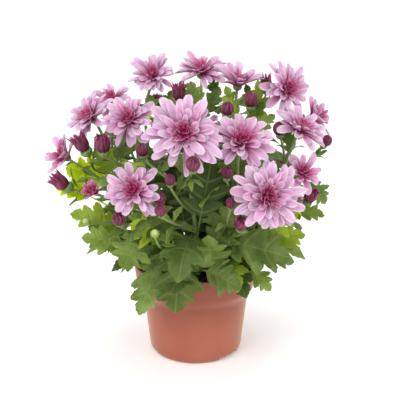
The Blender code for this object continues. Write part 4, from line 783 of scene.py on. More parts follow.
class Blade:
    """A leaf's surface: its midrib arches from joint to tip, and its halves fold up and wave."""

    def __init__(self, joint, tip, width, arch, face, phase, shape):
        self.joint, self.tip, self.width = np.asarray(joint, float), np.asarray(tip, float), width
        self.chord = self.tip - self.joint
        self.length = float(np.linalg.norm(self.chord))
        along = unit(self.chord)
        face = np.asarray(face, float)
        self.normal = unit(face - along * np.dot(face, along))
        self.side = np.cross(along, self.normal)
        self.arch, self.phase, self.shape = arch * self.length, phase, shape
        self.heading = unit(self.chord + self.normal * self.arch * math.pi)

    def at(self, share, across):
        """Points at shares of the length and signed shares of the half width."""
        share, across = np.asarray(share, float)[..., None], np.asarray(across, float)[..., None]
        half = self.width / 2
        fold = math.radians(LEAF_FOLD)
        middle = self.joint + self.chord * share + self.normal * self.arch * np.sin(math.pi * share)
        wave = LEAF_WAVE * np.sin(LEAF_WAVES * share + self.phase + np.sign(across)) * across**2
        raised = np.abs(across) * half * math.sin(fold) + wave
        return middle + self.side * across * half * math.cos(fold) + self.normal * raised

    def samples(self):
        """Points spread over the blade inside its outline."""
        outline = np.array(self.shape.rough)
        share = np.linspace(0.03, 1.0, 18)
        edge = np.interp(share, outline[:, 0], outline[:, 1])
        across = np.linspace(-1, 1, 11)
        return self.at(np.repeat(share, 11), np.outer(edge, across).ravel()).reshape(-1, 3)


def leaf_room(root, blade, clearance, shoot):
    """The room that a leaf has: its blade against everything, its stem against all but its own shoot."""
    points = blade.samples()
    stem = beads(np.array((root, blade.joint)), STEM_BEAD_SPACING)
    away = points[np.linalg.norm(points - root, axis=1) > ROOT_LENGTH]
    return min(
        clearance.room(away),
        clearance.room(stem[1:], (shoot,)) + LEAF_ROOM - STEM_ROOM,
        pot_room(points),
        pot_room(stem) + LEAF_ROOM - STEM_ROOM_AT_POT,
    )


def keep_leaf(shoot, root, blade, leaves, clearance):
    """Place a leaf and guard its room."""
    leaves.append((shoot, root, blade))
    clearance.add(f"leaf_{len(leaves)}", blade.samples(), 0.0)
    clearance.add(shoot, beads(np.array((root, blade.joint)), STEM_BEAD_SPACING)[1:], PETIOLE_RADIUS)


def lay_out():
    """The whole plant: main stalks, front leaves, side stalks, then other leaves where there is room."""
    draw = np.random.default_rng(LEAF_SEED)
    clearance, leaves = Clearance(), []
    mains = lay_out_mains(clearance)
    for leaf in FRONT_LEAVES:
        root, _ = path_point(mains[leaf.shoot], leaf.fork)
        blade = front_leaf(leaf, root, draw.uniform(0, 6), clearance)
        if blade is not None:
            keep_leaf(leaf.shoot, root, blade, leaves, clearance)
    sides = lay_out_sides(mains, clearance)
    for shoot, root, height, azimuth in leaf_roots(mains, sides):
        roll, phase = draw.uniform(-FILL_ROLL, FILL_ROLL), draw.uniform(0, 6)
        blade = fill_leaf(shoot, root, height, azimuth, roll, phase, clearance)
        if blade is not None:
            keep_leaf(shoot, root, blade, leaves, clearance)
    return mains, sides, leaves


def front_leaf(leaf, root, phase, clearance):
    """A front leaf where it is given, or moved nearer or further and made smaller until it has room."""
    for size in FRONT_SIZES:
        for shift in FRONT_SHIFTS:
            joint = metres(leaf.joint) + metres((*shift, 0))
            tip = joint + metres(np.subtract(leaf.tip, leaf.joint)) * size
            blade = Blade(joint, tip, leaf.width * size * MM, leaf.arch, leaf.face, phase, FRONT_SHAPE)
            if leaf_room(root, blade, clearance, leaf.shoot) >= LEAF_ROOM:
                return blade
    return None


def leaf_roots(mains, sides):
    """Where the other leaves root, low to high: their shoot, point, relative height and azimuth."""
    rows = []
    for order, (shoot, count) in enumerate(FILL_LEAVES.items()):
        outward = math.degrees(math.atan2(SHOOTS[shoot][1], SHOOTS[shoot][0]))
        for step in range(count):
            height = (step + 0.5) / count
            root, _ = path_point(mains[shoot], FILL_FROM + (FILL_TO - FILL_FROM) * height)
            turn = (step * GOLDEN_ANGLE + order * FILL_FAN) % 360 - 180
            rows.append((height, shoot, root, outward + turn))
    for number, route in sides.items():
        length = np.linalg.norm(np.diff(route, axis=0), axis=1).sum()
        count = int(length / SIDE_LEAF_SPACING)
        for step in range(count):
            place = (step + 0.5) / count
            root, _ = path_point(route, SIDE_LEAF_FROM + (SIDE_LEAF_TO - SIDE_LEAF_FROM) * place)
            outward = math.degrees(math.atan2(root[1], root[0]))
            height = SIDE_LEAF_HEIGHT + (1 - SIDE_LEAF_HEIGHT) * step / count
            azimuth = outward + SIDE_LEAF_TURN * (-1) ** (number + step)
            rows.append((height, HEADS[number].shoot, root, azimuth))
    rows.sort(key=lambda row: row[0])
    return [(shoot, root, height, azimuth) for height, shoot, root, azimuth in rows]


def fill_leaf(shoot, root, height, azimuth, roll, phase, clearance):
    """A leaf that grows from the root, at the first size, turn and lift at which it has room."""
    length = FILL_LENGTH_LOW + (FILL_LENGTH_HIGH - FILL_LENGTH_LOW) * height
    rise = FILL_RISE_LOW + (FILL_RISE_HIGH - FILL_RISE_LOW) * height
    for size in FILL_SIZES:
        for lift in FILL_LIFTS:
            for turn in FILL_TURNS:
                way = math.radians(azimuth + turn)
                tilt, droop = math.radians(rise + lift), math.radians(rise + lift - FILL_DROOP)
                outward = np.array((math.cos(way), math.sin(way), 0.0))
                joint = root + slanted(outward, tilt) * FILL_PETIOLE * size
                tip = joint + slanted(outward, droop) * length * size
                face = turned(outward * FILL_FACE_OUT + (0.0, 0.0, 1.0), outward, roll)
                blade = Blade(joint, tip, length * size * LEAF_SHAPE, FILL_ARCH, face, phase, FILL_SHAPE)
                if tip[2] < FILL_LOWEST or math.hypot(tip[0], tip[1]) > FILL_REACH:
                    continue
                if leaf_room(root, blade, clearance, shoot) >= LEAF_ROOM:
                    return blade
    return None


def inner_radius(height):
    """Inner radius of the pot's wall at a height."""
    levels = (FLOOR_CORNER_HEIGHT, SHELF_LOW, SHELF_HIGH, POT_HEIGHT)
    radii = (BODY_FOOT_RADIUS, BODY_TOP_RADIUS, COLLAR_FOOT_RADIUS, RIM_RADIUS - RIM_LIP)
    return float(np.interp(height, levels, radii)) - WALL


# Surfaces


def evenly(count):
    """Angles spaced evenly round a circle."""
    return 2 * math.pi * np.arange(count) / count


def ring_quads(rows, ring):
    """The faces between each row of a grid and the next, where every row is a closed ring."""
    row, place = np.meshgrid(np.arange(rows - 1), np.arange(ring), indexing="ij")
    here, after = row * ring + place, row * ring + (place + 1) % ring
    return np.stack((here, after, after + ring, here + ring), -1).reshape(-1, 4)


def plain_mesh(name, points, faces):
    """A mesh of points and faces."""
    mesh = bpy.data.meshes.new(name)
    mesh.from_pydata(points, [], faces)
    return mesh


def in_scene(name, data, place=(0.0, 0.0, 0.0), turn=(0.0, 0.0, 0.0)):
    """An object in the scene."""
    body = bpy.data.objects.new(name, data)
    body.location, body.rotation_euler = place, turn
    bpy.context.scene.collection.objects.link(body)
    return body


class Surface:
    """Points, faces and named numbers for each point, gathered from closed shells."""

    def __init__(self):
        self.points, self.faces, self.fields, self.total = [], [], {}, 0

    def shells(self, points, **fields):
        """Add closed shells given as points of shape (shells, rows, ring, 3).

        Each row's ring joins the next row's, and both ends close in a fan to the middle of their ring.
        A field is one number for each point, row or shell, and is spread over the same grid.
        """
        count, rows, ring = points.shape[:3]
        each = rows * ring + 2
        ends = points[:, [0, -1]].mean(axis=2)
        vertices = np.concatenate((points.reshape(count, -1, 3), ends), axis=1)
        quads = ring_quads(rows, ring)
        here, there = np.arange(ring), (np.arange(ring) + 1) % ring
        low = np.stack((np.full(ring, each - 2), there, here), -1)
        high = np.stack((np.full(ring, each - 1), (rows - 1) * ring + here, (rows - 1) * ring + there), -1)
        fans = np.concatenate((low, high))
        if volume(vertices[0], quads, fans) < 0:
            quads, fans = quads[:, ::-1], fans[:, ::-1]
        offsets = self.total + each * np.arange(count)[:, None, None]
        self.faces += (quads + offsets).reshape(-1, 4).tolist() + (fans + offsets).reshape(-1, 3).tolist()
        self.points.append(vertices.reshape(-1, 3))
        for name in self.fields.keys() | fields.keys():
            grid = np.broadcast_to(fields.get(name, 0.0), (count, rows, ring))
            spread = np.concatenate((grid.reshape(count, -1), grid[:, [0, -1]].mean(axis=2)), axis=1)
            self.fields.setdefault(name, [np.zeros(self.total)]).append(spread.ravel())
        self.total += count * each
        return self

    def mesh(self, name):
        """Everything gathered, as one mesh."""
        return plain_mesh(name, np.concatenate(self.points), self.faces)

    def piece(self, name, finish, slot, *nodes, sharp=60):
        """Make the object, smooth but for its sharp edges, riding on the plant's one body."""
        mesh = self.mesh(name)
        mesh.shade_smooth()
        mesh.set_sharp_from_angle(angle=math.radians(sharp))
        fields = {name: np.concatenate(values) for name, values in self.fields.items()}
        if "along" in fields:
            corner = np.empty(len(mesh.loops), int)
            mesh.loops.foreach_get("vertex_index", corner)
            pairs = np.stack((fields.pop("across")[corner], fields.pop("along")[corner]), -1)
            mesh.uv_layers.new(name="UVMap").data.foreach_set("uv", pairs.astype(np.float32).ravel())
        for field, values in fields.items():
            mesh.attributes.new(field, "FLOAT", "POINT").data.foreach_set("value", values.astype(np.float32))
        mesh.materials.append(finish)
        body = in_scene(name, mesh)
        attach(body, "root")
        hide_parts(*nodes)
        return body


def volume(vertices, quads, fans):
    """Six times the volume inside closed faces: the sum of each triangle's triple product."""
    corners = np.concatenate((quads[:, :3], quads[:, [0, 2, 3]], fans))
    a, b, c = (vertices[corners[:, k]] for k in range(3))
    return float(np.einsum("ij,ij->i", a, np.cross(b, c)).sum())


def smooth_rows(points, times):
    """A curve through the points: between two of them, a cubic whose slopes come from their neighbours."""
    points = np.asarray(points, float)
    before = np.concatenate((points[:1], points[:-1]))
    after = np.concatenate((points[1:], points[-1:]))
    slope = (after - before) / 2
    t = (np.arange(times) / times)[None, :, None]
    start, end, first, second = points[:-1, None], points[1:, None], slope[:-1, None], slope[1:, None]
    curve = (
        (2 * t**3 - 3 * t**2 + 1) * start + (t**3 - 2 * t**2 + t) * first
        + (3 * t**2 - 2 * t**3) * end + (t**3 - t**2) * second
    )
    return np.concatenate((curve.reshape(-1, points.shape[1]), points[-1:]))


def tube_rows(path, radii, ring, ribs=0.0):
    """A tube: circles, a little ribbed, across the path, turned to one plane so that they never twist."""
    ways = unit(np.gradient(path, axis=0))
    plane = np.cross(ways[0], path[-1] - path[0]) + np.array((1e-4, 2e-4, 0.0))
    across = unit(plane - ways * (ways @ plane)[:, None])
    up = np.cross(ways, across)
    angle = evenly(ring)
    spread = radii[:, None, None] * (1 + ribs * np.cos(5 * angle))[None, :, None]
    circle = np.cos(angle)[None, :, None] * across[:, None] + np.sin(angle)[None, :, None] * up[:, None]
    return (path[:, None] + spread * circle)[None]


def turned_rows(profile, angles):
    """A surface of revolution: the profile of (radius, height) at every angle."""
    profile = np.asarray(profile, float)
    x, y = np.cos(angles), np.sin(angles)
    radius, height = profile[:, :1], profile[:, 1:]
    return np.stack((radius * x, radius * y, np.broadcast_to(height, (len(profile), len(angles)))), -1)


def round_rows(base, directions, radii, heights, ring):
    """A round shell on a head's axis: circles of the radii at the heights above the base."""
    across, up, axis = directions
    angle = evenly(ring)
    circle = np.cos(angle)[:, None] * across + np.sin(angle)[:, None] * up
    return (base + circle[None] * radii[:, None, None] + axis * heights[:, None, None])[None]


def rounded(line, sizes, steps):
    """A line whose corners are quadratic curves that start and end at most the size away from them."""
    line = np.asarray(line, float)
    corner = line[1:-1]
    back, on = line[:-2] - corner, line[2:] - corner
    near = np.minimum(sizes, 0.45 * np.linalg.norm(back, axis=1))[:, None]
    far = np.minimum(sizes, 0.45 * np.linalg.norm(on, axis=1))[:, None]
    start, end = corner + unit(back) * near, corner + unit(on) * far
    t = np.linspace(0, 1, steps)[None, :, None]
    arcs = (1 - t) ** 2 * start[:, None] + 2 * t * (1 - t) * corner[:, None] + t**2 * end[:, None]
    return np.concatenate((line[:1], arcs.reshape(-1, line.shape[1]), line[-1:]))


def fronds(base, directions, azimuths, radii, heights, halves, thick, trough, roll, ring, sway=0.0):
    """Petals or scales round an axis, of shape (petals, rows, ring, 3).

    Each one's middle line lies in a plane through the axis, given by its radii and heights, and sways
    sideways out of it. Across it goes an oval: half width times the cosine of the ring's angle sideways,
    thickness times the sine outwards. The square of the cosine lifts the edges to a trough, and the
    cosine of four times the angle folds the petal lengthwise. roll turns the oval.
    """
    across, up, axis = directions
    outward = np.cos(azimuths)[:, None] * across + np.sin(azimuths)[:, None] * up
    sideways = (np.cos(azimuths)[:, None] * up - np.sin(azimuths)[:, None] * across)[:, None]
    tilt = np.arctan2(np.gradient(heights, axis=1), np.gradient(radii, axis=1))[..., None]
    sway = np.broadcast_to(sway, radii.shape)[..., None]
    middle = base + outward[:, None] * radii[..., None] + axis * heights[..., None] + sideways * sway
    above = axis * np.cos(tilt) - outward[:, None] * np.sin(tilt)
    turn = np.broadcast_to(roll, radii.shape)[..., None]
    side = sideways * np.cos(turn) + above * np.sin(turn)
    above = above * np.cos(turn) - sideways * np.sin(turn)
    angle = evenly(ring)
    halves, trough = halves[..., None], np.broadcast_to(trough, radii.shape)[..., None]
    fold = np.cos(angle) ** 2 + 0.16 * np.cos(4 * angle)
    lift = thick[..., None] * np.sin(angle) + trough * halves * fold
    spread = halves * np.cos(angle)
    return middle[:, :, None] + side[:, :, None] * spread[..., None] + above[:, :, None] * lift[..., None]


# Finishes


class Value:
    """A number from a finish's nodes: working on it with +, - and * adds the nodes that do so."""

    def __init__(self, finish, socket):
        self.finish, self.socket = finish, socket

    def __add__(self, other):
        return self.finish.maths("ADD", self, other)

    def __radd__(self, other):
        return self.finish.maths("ADD", other, self)

    def __sub__(self, other):
        return self.finish.maths("SUBTRACT", self, other)

    def __rsub__(self, other):
        return self.finish.maths("SUBTRACT", other, self)

    def __mul__(self, other):
        return self.finish.maths("MULTIPLY", self, other)

    def __rmul__(self, other):
        return self.finish.maths("MULTIPLY", other, self)

    def __abs__(self):
        return self.finish.maths("ABSOLUTE", self)

    def between(self, low, high):
        """0 below the low end, 1 above the high end and a smooth step between them."""
        settings = {"interpolation_type": "SMOOTHSTEP", "clamp": True}
        sockets = {"Value": self, "From Min": low, "From Max": high}
        return Value(self.finish, self.finish.node("ShaderNodeMapRange", settings, sockets).outputs["Result"])


class Finish:
    """A material with one shader, whose fixed numbers are set on the shader's own sockets."""

    def __init__(self, name, **fixed):
        self.material = bpy.data.materials.new(name)
        self.material.use_nodes = True
        self.nodes, self.links = self.material.node_tree.nodes, self.material.node_tree.links
        self.shader = self.nodes["Principled BSDF"]
        self.feed(self.shader, {key.replace("_", " "): value for key, value in fixed.items()})

    def feed(self, node, sockets):
        """Set or link a node's sockets, named or counted."""
        for key, value in sockets.items():
            if isinstance(value, Value):
                self.links.new(value.socket, node.inputs[key])
            elif isinstance(value, bpy.types.NodeSocket):
                self.links.new(value, node.inputs[key])
            else:
                node.inputs[key].default_value = value

    def node(self, kind, settings=None, sockets=None):
        """A node of any kind, its settings first and then its sockets."""
        node = self.nodes.new(kind)
        for key, value in (settings or {}).items():
            setattr(node, key, value)
        self.feed(node, sockets or {})
        return node

    def maths(self, operation, *values):
        """The outcome of one maths step on values and plain numbers."""
        node = self.node("ShaderNodeMath", {"operation": operation}, dict(enumerate(values)))
        return Value(self, node.outputs[0])

    def place(self):
        """Object coordinates."""
        return self.node("ShaderNodeTexCoord").outputs["Object"]

    def parts(self, vector):
        """The three numbers of a place."""
        node = self.node("ShaderNodeSeparateXYZ", {}, {0: vector})
        return [Value(self, output) for output in node.outputs]

    def strip(self):
        """The shares across and along the piece's own map."""
        return self.parts(self.node("ShaderNodeTexCoord").outputs["UV"])[:2]

    def field(self, name):
        """A number kept for each point of the piece."""
        return Value(self, self.node("ShaderNodeAttribute", {"attribute_name": name}).outputs["Fac"])

    def noise(self, scale, detail=2.0, vector=None, rough=0.5):
        """Cloudy noise from 0 to 1."""
        sockets = {"Scale": scale, "Detail": detail, "Roughness": rough, "Vector": vector or self.place()}
        return Value(self, self.node("ShaderNodeTexNoise", {}, sockets).outputs[0])

    def vector(self, x, y, z):
        """Three numbers as one place."""
        return self.node("ShaderNodeCombineXYZ", {}, {0: x, 1: y, 2: z}).outputs[0]

    def mix(self, share, first, second):
        """A colour between two."""
        settings = {"data_type": "RGBA", "clamp_factor": True}
        return self.node("ShaderNodeMix", settings, {0: share, 6: first, 7: second}).outputs[2]

    def bump(self, height, distance, strength):
        """Low relief on the surface."""
        node = self.node("ShaderNodeBump", {}, {"Height": height, "Distance": distance, "Strength": strength})
        self.feed(self.shader, {"Normal": node.outputs[0]})

    def colour(self, socket, roughness=None):
        """The surface's colour, and its roughness where that varies."""
        self.feed(self.shader, {"Base Color": socket})
        if roughness is not None:
            self.feed(self.shader, {"Roughness": roughness})
        return self.material


def shade(red, green, blue):
    """A screen colour from 0 to 255 as light."""
    parts = np.array((red, green, blue)) / 255
    light = np.where(parts <= 0.04045, parts / 12.92, ((parts + 0.055) / 1.055) ** 2.4)
    return (*light.tolist(), 1.0)


def petal_finish(name, colours):
    """Petals: deep at the root, paler to the tip and edge, finely streaked; inner ones burgundy."""
    finish = Finish(name, Roughness=0.6, Subsurface_Weight=0.3, Subsurface_Scale=0.004)
    finish.feed(finish.shader, {"Subsurface Radius": (1.0, 0.35, 0.7)})
    pale, pink, deep, burgundy, below = (shade(*colour) for colour in colours)
    across, along = finish.strip()
    tone, tint, under = finish.field("tone"), finish.field("tint"), finish.field("under")
    streak = finish.noise(1.0, 3.0, finish.vector(across * 7.0, along * 1.6, tint * 40.0))
    fine = finish.noise(1.0, 2.0, finish.vector(across * 26.0, along * 2.2, tint * 17.0))
    side = abs(2.0 * across - 1.0)
    middle = finish.mix((along + (tint - 0.5) * 0.25).between(0.05, 0.55), deep, pink)
    light = along.between(0.35, 1.0) * 0.5 + side.between(0.25, 1.0) * along.between(0.1, 0.5) * 0.55
    colour = finish.mix(light + (streak - 0.5) * 1.4 + (tint - 0.5) * 0.3, middle, pale)
    colour = finish.mix((fine - 0.42) * (1.15 - along) * 1.3, colour, deep)
    inner = tone * 1.35 - along * tone * 0.5 - side * tone * 0.2 + (streak - 0.5) * 0.5 * tone
    colour = finish.mix(inner, colour, burgundy)
    colour = finish.mix(under * (1.05 + 0.2 * tone - along * 0.85), colour, below)
    finish.bump(streak + fine * 0.5, 0.0008, 0.7)
    return finish.colour(colour)


def leaf_finish():
    """Leaves: mid green, paler veins, greyer below; lime or dark by age and by painted light and shade."""
    finish = Finish("leaf_green", Subsurface_Weight=0.12, Subsurface_Scale=0.003, Specular_IOR_Level=0.2)
    finish.feed(finish.shader, {"Subsurface Radius": (0.4, 1.0, 0.15)})
    mid, fresh, lime, dark = shade(84, 102, 37), shade(121, 140, 70), shade(216, 242, 0), shade(34, 52, 4)
    veins, speck, below = shade(152, 172, 98), shade(40, 58, 18), shade(116, 134, 88)
    across, lobe = finish.strip()
    tone, under = finish.field("tone"), finish.field("under")
    cloud, fine = finish.noise(60.0, 4.0), finish.noise(420.0, 2.0)
    side = abs(2.0 * across - 1.0)
    midrib = 1.0 - side.between(0.01, 0.05)
    branch = 1.0 - abs(finish.maths("FRACT", lobe) - 0.5).between(0.005, 0.05)
    vein = finish.maths("MAXIMUM", midrib, branch * 0.9) * (1.0 - side * 0.5)
    colour = finish.mix(cloud.between(0.3, 0.7), mid, fresh)
    # Painted light and shade: lime for young leaves with light coming through, dark for old and shaded ones.
    colour = finish.mix(tone.between(0.0, 1.0), colour, lime)
    colour = finish.mix((0.0 - tone).between(0.0, 1.0) * 0.9, colour, dark)
    colour = finish.mix(vein * 0.21, colour, veins)
    colour = finish.mix((1.0 - vein) * side.between(0.1, 0.9) * (fine - 0.4) * 0.8, colour, speck)
    colour = finish.mix(under * 0.4, colour, below)
    finish.bump(vein * -0.35 + cloud * 1.4 + fine * 0.35, 0.0012, 0.8)
    return finish.colour(colour, 0.42 + cloud * 0.2)


def stalk_finish():
    """Stalks and cups: grey-green, paler towards the heads, with fine lengthwise lines."""
    finish = Finish("stalk_green", Roughness=0.5, Subsurface_Weight=0.15, Subsurface_Scale=0.003)
    low, high, cup, young = shade(76, 98, 44), shade(126, 148, 84), shade(74, 104, 44), shade(184, 198, 116)
    across, along = finish.strip()
    tone = finish.field("tone")
    cloud = finish.noise(90.0, 3.0)
    line = finish.noise(1.0, 2.0, finish.vector(across * 22.0, along * 1.5, 0.0))
    colour = finish.mix(along.between(0.0, 1.0), low, high)
    colour = finish.mix(tone, colour, cup)
    colour = finish.mix(0.0 - tone, colour, young)
    colour = finish.mix(line.between(0.4, 0.7) * 0.35, colour, shade(146, 162, 106))
    finish.bump(line + cloud * 0.5, 0.0004, 0.5)
    return finish.colour(colour)


def pot_finish():
    """The pot: matte moulded terracotta plastic with faint clouding, fine grain and scuffs."""
    finish = Finish(
        "terracotta_plastic",
        Sheen_Weight=0.9, Sheen_Roughness=0.35, Sheen_Tint=shade(255, 232, 205), Specular_IOR_Level=0.28,
    )
    deep, clay, worn = shade(156, 86, 66), shade(168, 97, 75), shade(205, 156, 134)
    foot, upper_shade, shadow = shade(150, 84, 66), shade(132, 72, 56), shade(124, 66, 50)
    place = finish.place()
    cloud, grain = finish.noise(18.0, 4.0, place), finish.noise(900.0, 2.0, place)
    scuff = finish.noise(55.0, 6.0, place, 0.75)
    height = finish.parts(place)[2]
    colour = finish.mix(cloud.between(0.3, 0.7), deep, clay)
    colour = finish.mix((1.0 - height.between(0.0, 0.012)) * 0.25, colour, foot)
    # Painted shade: the upper body is darker, standing in for the shade that the leaves and the collar cast
    # on it.
    colour = finish.mix(height.between(0.022, 0.066) * 0.55, colour, upper_shade)
    # Painted shade on the collar's downward slant, darkening it against the light that the floor bounces up.
    slant = height.between(0.049, 0.056) * (1.0 - height.between(0.062, 0.069))
    colour = finish.mix(slant * 0.2, colour, shadow)
    colour = finish.mix(scuff.between(0.62, 0.8) * 0.3, colour, worn)
    finish.bump(grain * 0.25 + cloud * 0.6, 0.0003, 0.35)
    return finish.colour(colour, 0.5 + scuff * 0.18)


def soil_finish():
    """Damp peat: near-black brown crumbs, some rusty, a few pale grains."""
    finish = Finish("potting_soil", Roughness=0.95, Specular_IOR_Level=0.3)
    wet, brown, rusty, pale = shade(34, 28, 22), shade(66, 50, 38), shade(96, 72, 50), shade(176, 166, 146)
    tone = finish.field("tone")
    cloud, grain = finish.noise(160.0, 5.0), finish.noise(700.0, 3.0)
    colour = finish.mix(cloud.between(0.35, 0.7), wet, brown)
    colour = finish.mix(grain.between(0.55, 0.75) * 0.5, colour, rusty)
    colour = finish.mix(tone, colour, pale)
    finish.bump(cloud + grain * 0.5, 0.0012, 0.9)
    return finish.colour(colour)


# The pot and its soil


def drilled(body, drills):
    """Cuts closed shells out of a piece."""
    cutter = in_scene("drills", drills.mesh("drills"))
    cut = body.modifiers.new("drain_holes", "BOOLEAN")
    cut.object, cut.solver = cutter, "EXACT"
    bpy.context.view_layer.objects.active = body
    bpy.ops.object.modifier_apply(modifier=cut.name)
    bpy.data.objects.remove(cutter)


def make_pot():
    """The tapered pot: its profile with rounded corners turned about the axis; notches lift the foot ring."""
    corner = inner_radius(FLOOR_CORNER_HEIGHT)
    slant_top = (BODY_TOP_RADIUS, COLLAR_FOOT - COLLAR_SLANT)
    outer = (
        (BOSS_RADIUS - CLOSING_STEP, 0),
        (BOSS_RADIUS, 0),
        (BOSS_RADIUS + FOOT_DRAFT, FOOT_HEIGHT),
        (FOOT_RADIUS - FOOT_RING_WIDTH - FOOT_DRAFT, FOOT_HEIGHT),
        (FOOT_RADIUS - FOOT_RING_WIDTH, 0),
        (FOOT_RADIUS, 0),
        (FOOT_RADIUS + FOOT_ROUND[0], FOOT_ROUND[1]),
        (BODY_FOOT_RADIUS, BODY_FOOT_HEIGHT),
        slant_top,
        (COLLAR_FOOT_RADIUS, COLLAR_FOOT),
        (RIM_RADIUS, POT_HEIGHT),
        (RIM_RADIUS - WALL - RIM_LIP, POT_HEIGHT),
        (inner_radius(SHELF_HIGH), SHELF_HIGH),
        (inner_radius(SHELF_LOW), SHELF_LOW),
        (corner, FLOOR_CORNER_HEIGHT),
        (corner - FLOOR_CORNER_RADIUS, FLOOR_TOP),
        (CLOSING_STEP, FLOOR_TOP),
    )
    bends = np.full(len(outer) - 2, CORNER_BEND)
    slant = outer.index(slant_top) - 1
    bends[slant:slant + 2] = SLANT_BENDS
    profile = rounded(outer, bends, 6)
    half = math.asin(NOTCH_WIDTH / 2 / FOOT_RADIUS)
    centres = np.radians(np.array(NOTCH_ANGLES) - 90) % (2 * math.pi)
    sides = np.array((-half - NOTCH_EDGE, -half + NOTCH_EDGE, half - NOTCH_EDGE, half + NOTCH_EDGE))
    edges = (centres[:, None] + sides).ravel()
    angles = np.unique(np.concatenate((evenly(POT_RING), edges % (2 * math.pi))))
    points = turned_rows(profile, angles)
    away = np.abs((angles[:, None] - centres + math.pi) % (2 * math.pi) - math.pi).min(axis=1)
    ring_rows = profile[:, 0] > FOOT_RADIUS - FOOT_RING_WIDTH - FOOT_DRAFT
    lifted = ring_rows[:, None] & (away < half)[None]
    points[..., 2] = np.where(lifted, np.maximum(points[..., 2], FOOT_HEIGHT), points[..., 2])
    shell = Surface().shells(points[None])
    pot = shell.piece("pot_shell", pot_finish(), "terracotta_plastic", "pot", sharp=50)
    turn = 2 * math.pi * (np.arange(DRAIN_COUNT) + 0.5) / DRAIN_COUNT
    drills = Surface()
    for x, y in DRAIN_CIRCLE * np.stack((np.cos(turn), np.sin(turn)), -1):
        path = np.array(((x, y, 0.0), (x, y, FLOOR_TOP + DRILL_PAST)))
        drills.shells(tube_rows(path, np.full(2, DRAIN_RADIUS), DRAIN_RING))
    drilled(pot, drills)


def lumps(x, y, waves):
    """Uneven height: the mean of many waves of random way, length and start; long ones count for more."""
    phase = x[..., None] * waves[0] + y[..., None] * waves[1] + waves[2]
    return (np.sin(phase) * waves[3]).sum(axis=-1) / waves[3].sum()


def soil_height(radius, x, y, waves):
    """Height of the soil's surface: a low dome with lumps."""
    return SOIL_EDGE + SOIL_DOME * (1 - (radius / SOIL_RADIUS) ** 2) + LUMP_HEIGHT * lumps(x, y, waves)


def make_soil():
    """The soil: a low lumpy dome of rings, with crumbs and a few pale grains lying on it."""
    draw = np.random.default_rng(SOIL_SEED)
    length, way = draw.uniform(*LUMP_LENGTH, LUMP_WAVES), draw.uniform(0, 2 * math.pi, LUMP_WAVES)
    number = 2 * math.pi / length
    waves = number * np.cos(way), number * np.sin(way), draw.uniform(0, 6, LUMP_WAVES), length
    angles = evenly(SOIL_RING)
    edge = inner_radius(SOIL_EDGE) - GAP
    walls = turned_rows((
        (CLOSING_STEP, FLOOR_TOP + GAP),
        (inner_radius(FLOOR_CORNER_HEIGHT) - FLOOR_CORNER_RADIUS - GAP, FLOOR_TOP + GAP),
        (inner_radius(SHELF_LOW) - GAP, SHELF_LOW + GAP),
        (inner_radius(SHELF_HIGH) - GAP, SHELF_HIGH + 2 * GAP),
        (edge, SOIL_EDGE - SOIL_MARGIN),
    ), angles)
    radius = np.linspace(edge, SOIL_LAST_RING, SOIL_ROWS)
    x, y = np.outer(radius, np.cos(angles)), np.outer(radius, np.sin(angles))
    cover = np.stack((x, y, soil_height(radius[:, None], x, y, waves)), -1)
    surface = Surface().shells(np.concatenate((walls, cover))[None], tone=0.0)

    count = CRUMBS
    far = (edge - SOIL_MARGIN) * np.sqrt(draw.uniform(0, 1, count))
    way = draw.uniform(0, 2 * math.pi, count)
    x, y = far * np.cos(way), far * np.sin(way)
    size = draw.uniform(*CRUMB_SIZE, count) * draw.uniform(*CRUMB_PART, count)
    centre = np.stack((x, y, soil_height(far, x, y, waves) + size * CRUMB_LIFT), -1)
    stretch = draw.uniform(*CRUMB_STRETCH, (count, 3)) * size[:, None]
    level = np.radians(CRUMB_BELTS)
    ball = turned_rows(np.stack((np.cos(level), np.sin(level)), -1), evenly(CRUMB_RING))
    uneven = draw.uniform(*CRUMB_UNEVEN, (count, *ball.shape[:2], 1))
    ball = ball[None] * uneven * stretch[:, None, None]
    pale = (draw.uniform(0, 1, count) < PALE_GRAINS) * draw.uniform(*GRAIN_TONE, count)
    surface.shells(centre[:, None, None] + ball, tone=pale[:, None, None])
    return surface.piece("soil_surface", soil_finish(), "potting_soil", "soil", sharp=80)


# Shoots


def blade_rows(blade, outline, ring):
    """A leaf's blade as rings that cross it from edge to edge over the top and back below.

    A ring leaves the midrib at a share that lags behind the outline's, as the side veins do. The edges
    ripple once for each lobe and curl down, the midrib lies in a groove, and the leaf is creased
    between its side veins.
    """
    share, half, lobe = np.asarray(outline, float).T[..., None]
    middle = np.maximum.accumulate(np.clip(share - LEAF_SWEEP * half, 0, 1))
    middle = 0.9 * middle / middle[-1] + 0.1 * np.linspace(0, 1, len(share))[:, None]
    angle = evenly(ring)
    cosine, sine = np.cos(angle), np.sin(angle)
    side = np.sign(np.round(cosine, 6))
    swell = np.sin(math.pi * share)
    uneven = 0.03 * math.sin(5 * blade.phase) * swell * cosine
    shares = middle + (share - middle) * np.abs(cosine) ** 1.3 + uneven
    across = half * cosine * (1 + 0.10 * side * np.sin(math.pi * lobe + 3 * blade.phase) * swell)
    points = blade.at(shares, across)
    size, away = min(1.0, blade.width / FULL_LEAF_WIDTH), np.abs(half * cosine)
    ripple = LEAF_RIPPLE * np.sin(2 * math.pi * lobe + blade.phase + 2 * side) * away**2
    crease = LEAF_CREASE * np.cos(2 * math.pi * lobe) * away * (1.2 - away)
    groove = LEAF_GROOVE * np.clip(1 - away / 0.4, 0, 1) ** 2
    curl = LEAF_CURL * away**3 * (0.5 + 0.5 * np.sin(2.1 * lobe + 3 * blade.phase + 1.5 * side))
    edge = np.minimum(1.0, half / 0.3)
    lift = min(1.0, 0.3 + size) * BLADE_THICKNESS / 2 * sine * (0.35 + 0.65 * edge)
    relief = (ripple + crease - groove - curl) * edge * size
    return points + blade.normal * (lift + relief)[..., None]


